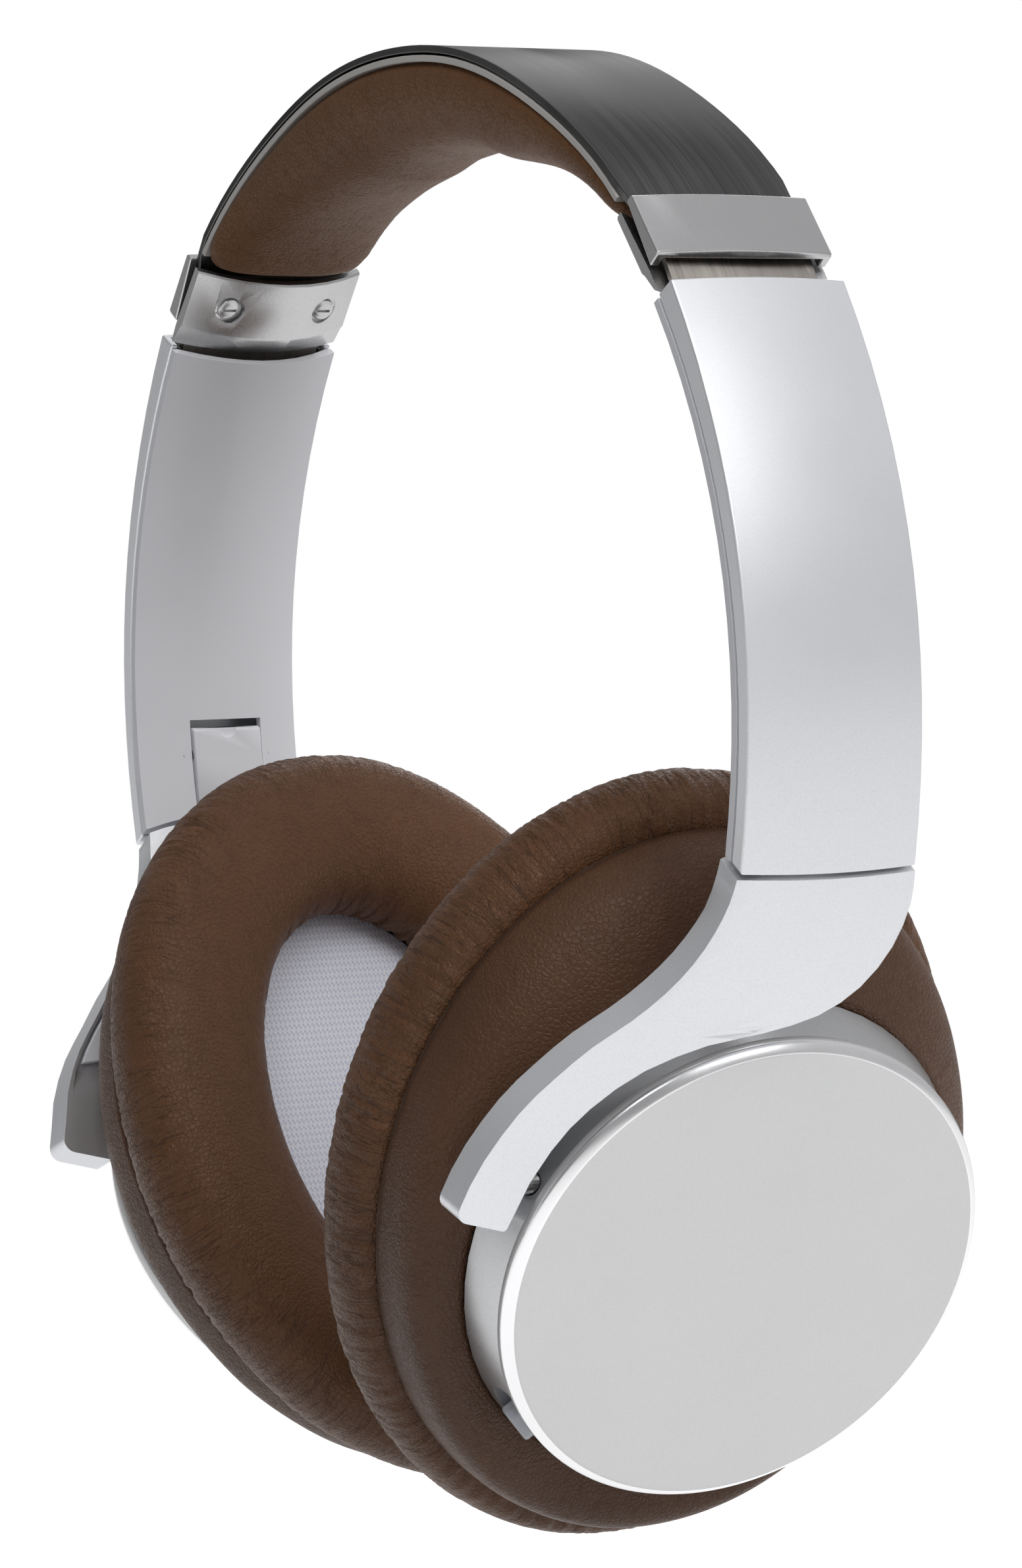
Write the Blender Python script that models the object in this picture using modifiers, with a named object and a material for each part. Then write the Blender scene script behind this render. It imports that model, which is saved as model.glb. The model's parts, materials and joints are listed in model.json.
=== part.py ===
"""Over ear headphones with a sprung steel band, sliding arms, one-sided swept
yokes and oval cups.  Metres, +Z up.  The origin is the middle of the underside of
the head pad.  +X is the wearer's left.  The yokes sweep towards -Y."""
import math

import bmesh
import bpy
from mathutils import Matrix, Vector

MM = 0.001

# ---------------------------------------------------------------- dimensions
ARM_TOP_Z = -20.5 * MM          # top edge of an arm, below the head pad's underside
ARM_WIDTH = 26.0 * MM
ARM_LENGTH_S = 0.845            # arm length in curve units of ARM_UNIT
ARM_UNIT = 86.67 * MM
ARM_CURVE = (66.57 * MM, 52.16 * MM, -49.19 * MM, 5.71 * MM)   # outer x = cubic in s
ARM_CROWN = 0.7 * MM
ARM_BULGE = 3.6 * MM            # how far the inner cover is crowned towards the head
ARM_WALL = 1.0 * MM
COVER_EDGE = 1.1 * MM
GAP = 0.3 * MM

BAND_WIDTH = 25.5 * MM
BAND_THICK = 1.0 * MM
BAND_R = (52.17 * MM, 9.85 * MM, 2.24 * MM, 0.52 * MM)   # polar radius terms of the outer face
BAND_CENTRE_Z = -9.53 * MM      # polar centre, from the arm's top edge
LINER_DEPTH = 1.3 * MM
LINER_THICK = 0.9 * MM
PAD_DEPTH = 3.2 * MM
PAD_UNDERSIDE = 14.0 * MM       # depth of the pad's underside at the crown
PAD_WIDTH = 25.0 * MM

CLAMP_TOP = (58.2 * MM, 11.0 * MM)      # outer corners of the clamp block (x, z from arm top)
CLAMP_BOTTOM = (64.1 * MM, 3.2 * MM)
CLAMP_HALF = 13.1 * MM
CLAMP_SCREW_Y = 7.6 * MM

SLIDE_RADIUS = 200.0 * MM       # the slider strip is bent to this radius
SLIDE_CENTRE = (-112.6 * MM, -93.9 * MM)
STRIP_THICK = 0.8 * MM
STRIP_HALF = 10.9 * MM

FOLD_PIN = (75.7 * MM, -60.5 * MM)      # fold hinge pin (x, z from arm top)
FOLD_LEAF_HALF = 5.5 * MM

YOKE_THICK = 4.8 * MM
YOKE_SWEEP_IN = 8.2 * MM        # how far the swept end leans towards the head
PIVOT = (53.9 * MM, -111.3 * MM)        # cup tilt axis (x, z from arm top)

CUP_CENTRE = (55.7 * MM, 1.7 * MM, -125.3 * MM)          # middle of the disc's face
CUP_TURN = math.radians(-4.8)   # the disc's normal, turned about the vertical
CUP_LEAN = math.radians(-26.0)  # and leaning down
RIGHT_EXTRA_LEAN = math.radians(-6.0)   # the right cup hangs tilted a little further
CUSHION_LEAN = math.radians(7.5)        # the cushion's plane, from the disc's
DISC_R = 33.5 * MM
DISC_THICK = 2.6 * MM
HOUSING_R_FRONT = 32.4 * MM
HOUSING_R_BACK = 34.7 * MM
HOUSING_DEPTH = 9.8 * MM
HOUSING_BORE_R = 29.5 * MM
SEAM_DEPTH = 21.2 * MM
SEAM_A, SEAM_B = 40.9 * MM, 48.2 * MM   # half width, half height of the cup's oval rim
CUSHION_A, CUSHION_B = 43.9 * MM, 53.0 * MM
CUSHION_THICK = 15.2 * MM
HOLE_A, HOLE_B = 20.5 * MM, 30.0 * MM
DRIVER_R = 20.0 * MM
BUTTON_ANGLES = (203.0, 221.0, 239.0)
BUTTON_TRAVEL = 0.6 * MM
SWITCH_ANGLE = 221.0

# ------------------------------------------------------------------ scene set-up
for old in list(bpy.data.objects):
    bpy.data.objects.remove(old, do_unlink=True)
PARTS = bpy.data.collections.new("over_ear_headphones")
CUTTERS = bpy.data.collections.new("cutters")
bpy.context.scene.collection.children.link(PARTS)
bpy.context.scene.collection.children.link(CUTTERS)


def material(name, colour, rough, metal):
    mat = bpy.data.materials.new(name)
    mat.use_nodes = True
    bsdf = mat.node_tree.nodes["Principled BSDF"]
    bsdf.inputs["Base Color"].default_value = (*colour, 1.0)
    bsdf.inputs["Roughness"].default_value = rough
    bsdf.inputs["Metallic"].default_value = metal
    mat.diffuse_color = (*colour, 1.0)
    return mat


LEATHER = material("brown_leather", (0.09, 0.042, 0.022), 0.5, 0.0)
SILVER = material("satin_silver", (0.62, 0.63, 0.65), 0.35, 0.7)
CLAMP_SILVER = material("clamp_silver", (0.5, 0.52, 0.55), 0.35, 0.8)
STEEL = material("brushed_steel", (0.28, 0.27, 0.26), 0.32, 1.0)
STRIP_STEEL = material("strip_steel", (0.45, 0.42, 0.38), 0.3, 1.0)
ANODISED = material("anodised_disc", (0.72, 0.72, 0.72), 0.4, 0.5)
WHITE = material("white_cover", (0.8, 0.8, 0.82), 0.5, 0.0)
PALE = material("pale_trim", (0.7, 0.68, 0.62), 0.5, 0.0)
CLOTH = material("white_cloth", (0.7, 0.72, 0.82), 0.9, 0.0)
DARK = material("dark_plastic", (0.04, 0.04, 0.045), 0.5, 0.0)
CONE = material("driver_film", (0.5, 0.45, 0.35), 0.4, 0.0)
BOARD = material("green_board", (0.03, 0.16, 0.07), 0.5, 0.0)
CELL = material("battery_wrap", (0.1, 0.16, 0.3), 0.4, 0.0)
BUTTON_MAT = material("button_white", (0.82, 0.83, 0.86), 0.3, 0.0)
BRASS = material("contact_brass", (0.7, 0.5, 0.2), 0.3, 1.0)
CABLE_MAT = material("ribbon_cable", (0.5, 0.2, 0.05), 0.5, 0.0)


# --------------------------------------------------------------- mesh helpers
def empty(name, matrix, parent=None):
    obj = bpy.data.objects.new(name, None)
    obj.empty_display_size = 0.01
    PARTS.objects.link(obj)
    obj.parent = parent
    obj.matrix_world = matrix
    bpy.context.view_layer.update()
    return obj


def add(name, bm, mat, parent=None, collection=None, smooth=40.0):
    """Makes an object of a bmesh that is in world space, with its origin on its parent."""
    bmesh.ops.recalc_face_normals(bm, faces=bm.faces)
    if bm.calc_volume(signed=True) < 0:
        bmesh.ops.reverse_faces(bm, faces=bm.faces)
    mesh = bpy.data.meshes.new(name)
    if parent is not None:
        bm.transform(parent.matrix_world.inverted())
    bm.to_mesh(mesh)
    bm.free()
    obj = bpy.data.objects.new(name, mesh)
    (collection or PARTS).objects.link(obj)
    if parent is not None:
        obj.parent = parent
    if mat is not None:
        mesh.materials.append(mat)
    mesh.shade_smooth()
    mesh.set_sharp_from_angle(angle=math.radians(smooth))
    return obj


def rings(sections, closed=False, paired=False):
    """Skins a row of equal-length closed sections, capped at both ends unless the row is a ring.
    A paired section runs out along one side and back along the other, and its caps are quads across."""
    bm = bmesh.new()
    rows = [[bm.verts.new(p) for p in section] for section in sections]
    n = len(rows[0])
    pairs = list(zip(rows, rows[1:])) + ([(rows[-1], rows[0])] if closed else [])
    for a, b in pairs:
        for i in range(n):
            j = (i + 1) % n
            bm.faces.new((a[i], a[j], b[j], b[i]))
    if closed:
        return bm
    for row in (rows[0], rows[-1]):
        if paired:
            for i in range(n // 2 - 1):
                bm.faces.new((row[i], row[i + 1], row[n - 2 - i], row[n - 1 - i]))
        else:
            bmesh.ops.triangulate(bm, faces=[bm.faces.new(row)], ngon_method="EAR_CLIP")
    return bm


def turned(name, profile, mat, parent, location=(0, 0, 0), steps=48, rotation=None, collection=None):
    """A turned piece: the profile (r, z), from the axis down the outer side, with a Screw about local Z."""
    mesh = bpy.data.meshes.new(name)
    points = [(r, 0.0, z) for r, z in profile]
    loop = profile[0][0] > 1e-6
    edges = [(i, i + 1) for i in range(len(points) - 1)] + ([(len(points) - 1, 0)] if loop else [])
    mesh.from_pydata(points, edges, [])
    obj = bpy.data.objects.new(name, mesh)
    (collection or PARTS).objects.link(obj)
    obj.parent = parent
    obj.location = location
    if rotation is not None:
        obj.rotation_mode = "QUATERNION"
        obj.rotation_quaternion = rotation
    screw = obj.modifiers.new("Turn", "SCREW")
    screw.steps = screw.render_steps = steps
    screw.use_merge_vertices = True
    screw.merge_threshold = 0.00001
    screw.use_smooth_shade = True
    if mat is not None:
        mesh.materials.append(mat)
    return obj


def cut(obj, cutter, name="Cut"):
    mod = obj.modifiers.new(name, "BOOLEAN")
    mod.operation = "DIFFERENCE"
    mod.object = cutter
    mod.solver = "EXACT"
    cutter.hide_render = True
    cutter.display_type = "WIRE"
    return mod


def box_bm(matrix, size):
    bm = bmesh.new()
    bmesh.ops.create_cube(bm, size=1.0)
    bm.transform(matrix @ Matrix.Diagonal((*size, 1.0)))
    return bm


def rod_bm(start, end, radius, segments=16):
    start, end = Vector(start), Vector(end)
    axis = end - start
    bm = bmesh.new()
    bmesh.ops.create_cone(bm, cap_ends=True, segments=segments, radius1=radius, radius2=radius, depth=axis.length)
    turn = Vector((0, 0, 1)).rotation_difference(axis.normalized()).to_matrix().to_4x4()
    bm.transform(Matrix.Translation((start + end) / 2) @ turn)
    return bm


def side_x(point, side):
    return Vector((point[0] * side, point[1], point[2]))


def smoothstep(x):
    x = min(1.0, max(0.0, x))
    return x * x * (3 - 2 * x)


# ----------------------------------------------------------------- band curve
def band_point(theta, depth=0.0):
    """A point of the band in the XZ plane: theta is 0 at the left and pi at the right."""
    def outer(t):
        r = BAND_R[0] + sum(BAND_R[k] * math.cos(2 * k * t) for k in (1, 2, 3))
        return Vector((r * math.cos(t), 0.0, BAND_CENTRE_Z + ARM_TOP_Z + r * math.sin(t)))
    p = outer(theta)
    along = (outer(theta + 1e-3) - outer(theta - 1e-3)).normalized()
    inward = Vector((-along.z, 0.0, along.x))
    return p + inward * depth


def band_strip(name, first, last, steps, depth, thick, half, mat):
    """A strip that follows the band; half is a function of theta."""
    sections = []
    for i in range(steps + 1):
        t = math.radians(first + (last - first) * i / steps)
        a, b = band_point(t, depth), band_point(t, depth + thick)
        h = half(math.degrees(t))
        sections.append([a + Vector((0, -h, 0)), a + Vector((0, h, 0)), b + Vector((0, h, 0)), b + Vector((0, -h, 0))])
    return add(name, rings(sections), mat)


def band_half(deg):
    near_end = min(deg, 180 - deg)
    return (11.5 * MM) + (BAND_WIDTH / 2 - 11.5 * MM) * smoothstep((near_end - 19.4) / 1.0)


band_strip("steel_band", 17.0, 163.0, 48, 0.0, BAND_THICK, band_half, STEEL)
band_strip("band_liner", 21.0, 159.0, 40, LINER_DEPTH, LINER_THICK, lambda d: BAND_WIDTH / 2, PALE)
band_strip("crossover_cable", 22.5, 157.5, 32, LINER_DEPTH + LINER_THICK + 0.3 * MM, 0.35 * MM, lambda d: 2.5 * MM, CABLE_MAT)


def pad_section(deg):
    """Half-round underside, thick at the crown and thin where it enters the clamps."""
    near_end = min(deg, 180 - deg)
    along = min(1.0, (near_end - 17.5) / 45.0)
    full = 0.5 * (along + smoothstep(along))
    under = 6.4 * MM + (PAD_UNDERSIDE - 6.4 * MM) * full
    top = PAD_DEPTH + 0.35 * MM * (1 - full)
    half = PAD_WIDTH / 2 - 1.6 * MM * (1 - smoothstep((near_end - 19.0) / 5.0))
    t = math.radians(deg)
    points = []
    count = 12
    for i in range(count + 1):
        y = -1 + 2 * i / count
        y = math.sin(y * math.pi / 2)
        side = (1 - abs(y) ** 2.6) ** (1 / 2.2) if abs(y) < 1 else 0.0
        edge = top + (under - top) * 0.22
        points.append(band_point(t, edge + (under - edge) * side) + Vector((0, y * half, 0)))
    points.append(band_point(t, top) + Vector((0, half, 0)))
    points.append(band_point(t, top) + Vector((0, -half, 0)))
    return points


add("head_pad", rings([pad_section(19.6 + (180 - 39.2) * i / 44) for i in range(45)]), LEATHER)

# ------------------------------------------------------------------ the clamps
CT = Vector((CLAMP_TOP[0], 0, CLAMP_TOP[1] + ARM_TOP_Z))
CB = Vector((CLAMP_BOTTOM[0], 0, CLAMP_BOTTOM[1] + ARM_TOP_Z))
CLAMP_LEN = (CB - CT).length
CD = (CB - CT).normalized()                 # down along the clamp
CM = Vector((CD.z, 0, -CD.x))               # inwards, towards the head


def clamp_point(u, v, y=0.0):
    return CT + CD * u + CM * v + Vector((0, y, 0))


def clamp_loft(profile, half, side, stations=9):
    """profile(t) gives (u, v) corners at t from -1 to 1 across the width."""
    sections = []
    for i in range(stations):
        t = -1 + 2 * i / (stations - 1)
        sections.append([side_x(clamp_point(u, v, t * half), side) for u, v in profile(t)])
    return rings(sections)


def block_profile(t):
    crown = 0.5 * MM * (1 - t * t)
    return [(0.25 * MM, -crown), (CLAMP_LEN - 0.3 * MM, -crown), (CLAMP_LEN, 0.35 * MM),
            (CLAMP_LEN, 2.4 * MM), (0.0, 1.35 * MM), (0.0, 0.3 * MM)]


def inner_profile(t):
    bulge = 3.5 * MM * (1 - t * t)
    v = 4.4 * MM + bulge
    return [(0.2 * MM, v - 1.2 * MM), (0.2 * MM, v - 0.25 * MM), (0.5 * MM, v), (9.3 * MM, v),
            (9.9 * MM, v - 0.3 * MM), (12.7 * MM, 3.5 * MM + 0.75 * bulge), (12.7 * MM, 3.0 * MM + 0.45 * bulge),
            (10.2 * MM, 2.8 * MM + 0.5 * bulge)]


# ------------------------------------------------------------------- the arms
def arm_outer(s):
    c = ARM_CURVE
    return Vector((c[0] + c[1] * s + c[2] * s * s + c[3] * s ** 3, 0, ARM_TOP_Z - ARM_UNIT * s))


def arm_frame(s):
    c = ARM_CURVE
    along = Vector((c[1] + 2 * c[2] * s + 3 * c[3] * s * s, 0, -ARM_UNIT)).normalized()
    return arm_outer(s), along, Vector((along.z, 0, -along.x))


def arm_thick(s):
    return (4.79 - 3.83 * s + 3.18 * s * s) * MM


def arm_point(s, depth, y):
    """Depth is from the outer face's edge line. The lower end is cut at a slope."""
    p, along, inward = arm_frame(s)
    shear = -0.43 * smoothstep((s - 0.62) / 0.225)
    return p + inward * depth + along * (shear * depth) + Vector((0, y, 0))


def arm_stations(first=0.0, last=ARM_LENGTH_S, steps=14):
    return [first + (last - first) * i / steps for i in range(steps + 1)]


def shell_section(s):
    half, wall = ARM_WIDTH / 2, 1.1 * MM
    ledge = arm_thick(s) - COVER_EDGE - GAP
    across = [-1 + 2 * i / 8 for i in range(9)]
    outer = [(t * half, -ARM_CROWN * (1 - t * t)) for t in across]
    inner = [(t * (half - wall), ARM_WALL - ARM_CROWN * 0.7 * (1 - t * t)) for t in across]
    return ([(-half, ledge)] + outer + [(half, ledge), (half - wall, ledge)]
            + inner[::-1] + [(-half + wall, ledge)])


def cover_section(s):
    half = ARM_WIDTH / 2
    depth = arm_thick(s)
    across = [-1 + 2 * i / 8 for i in range(9)]
    back = [(t * (half - 0.9 * MM), depth - COVER_EDGE + (ARM_BULGE - 0.1 * MM) * (1 - t * t)) for t in across]
    face = [(t * half, depth + ARM_BULGE * (1 - t * t)) for t in (-1 + 2 * i / 10 for i in range(11))]
    return [(-half, depth - COVER_EDGE)] + back + [(half, depth - COVER_EDGE)] + face[::-1]


def arm_loft(section, side, stations):
    return rings([[side_x(arm_point(s, d, y), side) for y, d in section(s)] for s in stations], paired=True)


# ------------------------------------------------------------------- the yokes
def yoke_face(y, z):
    """x of the yoke's outer face, less its crown: it carries on the arm's curve, and its swept end leans in."""
    s = (ARM_TOP_Z - z) / ARM_UNIT
    return arm_outer(s).x - YOKE_SWEEP_IN * smoothstep((-8 * MM - y) / (26 * MM))


def catmull(points, per):
    """Points along a smooth curve through the given ones."""
    ext = [2 * points[0] - points[1]] + list(points) + [2 * points[-1] - points[-2]]
    out = []
    for i in range(1, len(ext) - 2):
        a, b, c, d = ext[i - 1:i + 3]
        for k in range(per):
            t = k / per
            out.append(0.5 * ((2 * b) + (c - a) * t + (2 * a - 5 * b + 4 * c - d) * t * t
                              + (3 * b - a - 3 * c + d) * t ** 3))
    out.append(points[-1])
    return out


# The yoke's outline, seen from the side, as pairs across it from the arm down to its tip.
YOKE_REAR = [Vector(p) * MM for p in ((13.0, -73.8), (12.9, -78.0), (10.9, -83.2), (6.8, -87.9), (1.0, -91.1), (-6.5, -92.9),
                                      (-13.5, -94.3), (-20.2, -97.2), (-25.5, -101.8), (-29.0, -107.0), (-32.3, -115.2))]
YOKE_FRONT = [Vector(p) * MM for p in ((-13.0, -73.8), (-13.6, -76.7), (-14.9, -80.2), (-16.9, -84.0), (-19.6, -87.6), (-22.9, -90.9),
                                       (-26.8, -94.0), (-30.6, -97.7), (-34.6, -102.0), (-38.0, -107.6), (-40.2, -114.0))]
YOKE_ACROSS = (-1.0, -0.87, -0.8, -0.4, 0.0, 0.4, 0.8, 0.87, 1.0)
YOKE_ROWS = 2 * (len(YOKE_REAR) - 1)


def yoke_grid(places, across):
    """(y, z, t) points at places along the outline, counted in half control points, and t across it."""
    rear, front = catmull(YOKE_REAR, 2), catmull(YOKE_FRONT, 2)
    grid = []
    for k in places:
        i = min(int(k), YOKE_ROWS - 1)
        r, f = rear[i].lerp(rear[i + 1], k - i), front[i].lerp(front[i + 1], k - i)
        grid.append([(*r.lerp(f, (t + 1) / 2), t) for t in across])
    return grid


def yoke_skin(places, across, depth_out, depth_in, side, sloped_top=True):
    """Closes a patch of the yoke between two depths under its outer face."""
    sections = []
    for k, row in zip(places, yoke_grid(places, across)):
        fade = max(0.0, 1 - k / 3.0) if sloped_top else 0.0
        outer, inner = [], []
        for y, z, t in row:
            zz = z + ARM_TOP_Z
            for depth, out in ((depth_out(k, t, y), outer), (depth_in(k, t, y), inner)):
                _, along, inward = arm_frame(min(-z / ARM_UNIT, 1.05))
                p = Vector((yoke_face(y, zz), y, zz)) + inward * depth - along * (0.43 * fade * depth)
                out.append(side_x(p, side))
        sections.append(outer + inner[::-1])
    return rings(sections, paired=True)


def yoke_crown(k, t, y):
    return -ARM_CROWN * (1 - min(1.0, (y / (ARM_WIDTH / 2)) ** 2))


def yoke_back(k, t, y):
    """Deepest where it meets the arm's bulged cover; recessed for its liner below that."""
    depth = 4.0 * MM + (YOKE_THICK - 4.0 * MM) * smoothstep(k / 8.0)
    depth += (ARM_BULGE - 0.4 * MM) * (1 - t * t) * (1 - smoothstep(k / 9.0))
    return depth - (1.1 * MM if abs(t) < 0.83 and 6.5 < k < YOKE_ROWS - 2.5 else 0.0)


# -------------------------------------------------------------- cup geometry
def cup_axes(turn, lean):
    n = Vector((math.cos(lean) * math.cos(turn), math.cos(lean) * math.sin(turn), math.sin(lean)))
    a = Vector((0, 0, 1)).cross(n).normalized()
    return a, n.cross(a), n


CUP_A, CUP_B, CUP_N = cup_axes(CUP_TURN, CUP_LEAN)
PAD_A, PAD_B, PAD_N = cup_axes(CUP_TURN, CUP_LEAN + CUSHION_LEAN)
CUP_O = Vector((CUP_CENTRE[0], CUP_CENTRE[1], CUP_CENTRE[2] + ARM_TOP_Z))
SEAM_O = CUP_O - CUP_N * SEAM_DEPTH + CUP_B * (2.0 * MM) - CUP_A * (1.6 * MM)
PIVOT_P = Vector((PIVOT[0], 0, PIVOT[1] + ARM_TOP_Z))


def disc_point(radius, angle, depth):
    return CUP_O - CUP_N * depth + (CUP_A * math.cos(angle) + CUP_B * math.sin(angle)) * radius


def seam_point(a, b, angle, depth):
    """A point of an oval in the cushion's plane; depth runs from the seam towards the head."""
    return SEAM_O - PAD_N * depth + PAD_A * (a * math.cos(angle)) + PAD_B * (b * math.sin(angle))


def bezier(p0, p1, p2, p3, t):
    return p0 * (1 - t) ** 3 + p1 * (3 * t * (1 - t) ** 2) + p2 * (3 * t * t * (1 - t)) + p3 * t ** 3


ROUND = 44


def back_profile(angle, inset):
    """The cup back's skin from the round housing out to the oval rim, with a full shoulder."""
    a = disc_point(HOUSING_R_BACK - 0.1 * MM if inset == 0 else 32.4 * MM, angle, HOUSING_DEPTH + 0.45 * MM + inset)
    b = seam_point(SEAM_A - inset, SEAM_B - inset, angle, 0.0)
    corner = seam_point((SEAM_A - inset) * 0.99, (SEAM_B - inset) * 0.99, angle, -(8.9 * MM - inset))
    return [bezier(a, a.lerp(corner, 0.86), b.lerp(corner, 0.86), b, t) for t in (0, 0.2, 0.38, 0.5, 0.62, 0.76, 0.88, 1)]


def cushion_profile(angle):
    """A plump ring: flat back, rounded outside, rolled over into the ear hole."""
    shape = [(0.88, 0.02), (1.0, 0.30), (1.03, 0.5), (1.0, 0.68), (0.88, 0.88), (0.66, 0.99), (0.42, 0.99),
             (0.2, 0.88), (0.05, 0.66), (0.0, 0.42), (0.03, 0.2), (0.12, 0.02)]
    pts = []
    for across, up in shape:
        a = HOLE_A + (CUSHION_A - HOLE_A) * across
        b = HOLE_B + (CUSHION_B - HOLE_B) * across
        pts.append(seam_point(a, b, angle, GAP + CUSHION_THICK * up))
    return pts


def ring_of(profile):
    return [profile(2 * math.pi * i / ROUND) for i in range(ROUND)]


def mirrored(sections, side):
    return [[side_x(p, side) for p in section] for section in sections]


# ------------------------------------------------------------ build both sides
def build_side(side, tag):
    right = side < 0
    # The clamp belongs to the headband.
    block = add(f"clamp_block_{tag}", clamp_loft(block_profile, CLAMP_HALF, side), CLAMP_SILVER)
    channel = add(f"cut_channel_{tag}", rings([[side_x(clamp_point(u, v, y), side) for u, v in
                  ((-2 * MM, 0.9 * MM), (CLAMP_LEN + 2 * MM, 0.9 * MM), (CLAMP_LEN + 2 * MM, 6 * MM), (-2 * MM, 6 * MM))]
                  for y in (-11.85 * MM, 11.85 * MM)]), None, collection=CUTTERS)
    cut(block, channel)
    plate = add(f"clamp_plate_{tag}", clamp_loft(inner_profile, CLAMP_HALF, side), CLAMP_SILVER)

    # The slider strip: straight in the clamp, then bent to the slide radius inside the arm.
    centre = Vector((SLIDE_CENTRE[0], 0, SLIDE_CENTRE[1] + ARM_TOP_Z))
    def on_arc(s):
        ang = s
        return centre + Vector((math.cos(ang), 0, math.sin(ang))) * SLIDE_RADIUS
    first, last = math.radians(27.6), math.radians(17.0)
    path = [clamp_point(2.7 * MM, 1.35 * MM), clamp_point(6.0 * MM, 1.4 * MM)] + [on_arc(first + (last - first) * i / 10) for i in range(11)]
    sections = []
    for i, p in enumerate(path):
        q = path[min(i + 1, len(path) - 1)] - path[max(i - 1, 0)]
        q.normalize()
        inward = Vector((q.z, 0, -q.x))
        sections.append([side_x(v, side) for v in (p + Vector((0, -STRIP_HALF, 0)), p + Vector((0, STRIP_HALF, 0)),
                         p + inward * STRIP_THICK + Vector((0, STRIP_HALF, 0)), p + inward * STRIP_THICK + Vector((0, -STRIP_HALF, 0)))])
    strip = add(f"slider_strip_{tag}", rings(sections), STRIP_STEEL)
    for k, y in (("front", -CLAMP_SCREW_Y), ("rear", CLAMP_SCREW_Y)):
        t = y / CLAMP_HALF
        v_in = 4.4 * MM + 3.5 * MM * (1 - t * t)
        a, b = clamp_point(5.2 * MM, 1.15 * MM, y), clamp_point(5.2 * MM, 12 * MM, y)
        hole = add(f"cut_screw_{k}_{tag}", rod_bm(side_x(clamp_point(5.2 * MM, 1.0 * MM, y), side), side_x(b, side), 1.15 * MM, 16), None, collection=CUTTERS)
        sink = add(f"cut_sink_{k}_{tag}", rod_bm(side_x(clamp_point(5.2 * MM, v_in - 0.75 * MM, y), side), side_x(b, side), 2.1 * MM, 20), None, collection=CUTTERS)
        cut(plate, hole, "Hole")
        cut(plate, sink, "Sink")
        cut(strip, hole, "Hole")
        axis = (side_x(b, side) - side_x(a, side)).normalized()
        turn = Vector((0, 0, 1)).rotation_difference(axis)
        length = v_in - 0.45 * MM - 1.25 * MM
        head = [(0.0, 0.45 * MM), (1.2 * MM, 0.45 * MM), (1.7 * MM, 0.15 * MM), (1.7 * MM, 0.0), (0.85 * MM, 0.0),
                (0.85 * MM, -length), (0.0, -length)]
        turned(f"clamp_screw_{k}_{tag}", head, CLAMP_SILVER, None, side_x(clamp_point(5.2 * MM, v_in - 0.45 * MM, y), side), 14, turn)

    # The arm turns about the slider strip's centre of curvature.
    arm_axis = empty(f"arm_axis_{tag}", Matrix.Translation(side_x(centre, side)))
    add(f"arm_shell_{tag}", arm_loft(shell_section, side, arm_stations()), SILVER, arm_axis)
    cover = add(f"arm_cover_{tag}", arm_loft(cover_section, side, arm_stations(0.004)), WHITE, arm_axis)
    leaf_top = Vector((FOLD_PIN[0], 0, FOLD_PIN[1] + 5.0 * MM + ARM_TOP_Z))
    slot = add(f"cut_leaf_{tag}", box_bm(Matrix.Translation(side_x(leaf_top + Vector((0, 0, -15 * MM)), side)),
               (20 * MM, 2 * FOLD_LEAF_HALF + 2 * GAP, 30.4 * MM)), None, arm_axis, CUTTERS)
    cut(cover, slot, "Slot")
    # A channel in the arm's top end holds the strip's outer side and edges.
    def guide_section(s):
        half, depth = ARM_WIDTH / 2 - 1.1 * MM - GAP, arm_thick(s) - COVER_EDGE - GAP
        across = (-1, -0.66, -0.33, 0, 0.33, 0.66, 1)
        pts = [(t * half, ARM_WALL + GAP - ARM_CROWN * 0.7 * (1 - t * t) * 0.9) for t in across]
        return pts + [(t * half, depth - 0.1 * MM + (ARM_BULGE - 0.9 * MM) * (1 - t * t)) for t in across[::-1]]
    guide = add(f"strip_guide_{tag}", arm_loft(guide_section, side, arm_stations(0.006, 0.05, 2)), DARK, arm_axis)
    ang0, ang1 = math.radians(31), math.radians(24)
    tunnel = []
    for i in range(7):
        ang = ang0 + (ang1 - ang0) * i / 6
        d = Vector((math.cos(ang), 0, math.sin(ang)))
        lo, hi = centre + d * (SLIDE_RADIUS - 9 * MM), centre + d * (SLIDE_RADIUS + 0.25 * MM)
        h = Vector((0, STRIP_HALF + 0.25 * MM, 0))
        tunnel.append([side_x(p, side) for p in (lo - h, lo + h, hi + h, hi - h)])
    cut(guide, add(f"cut_tunnel_{tag}", rings(tunnel), None, arm_axis, CUTTERS), "Tunnel")
    # A leaf spring inside the arm presses on the strip and makes its clicks.
    spring = []
    for i in range(9):
        s = 0.13 + 0.022 * i
        bow = 0.9 * MM * math.sin(math.pi * i / 8) ** 2
        base = arm_thick(s) - COVER_EDGE + ARM_BULGE - 0.75 * MM
        spring.append([side_x(arm_point(s, base - bow - d, y), side) for y, d in
                       ((-3 * MM, 0), (3 * MM, 0), (3 * MM, 0.3 * MM), (-3 * MM, 0.3 * MM))])
    add(f"detent_spring_{tag}", rings(spring), STRIP_STEEL, arm_axis)

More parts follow.
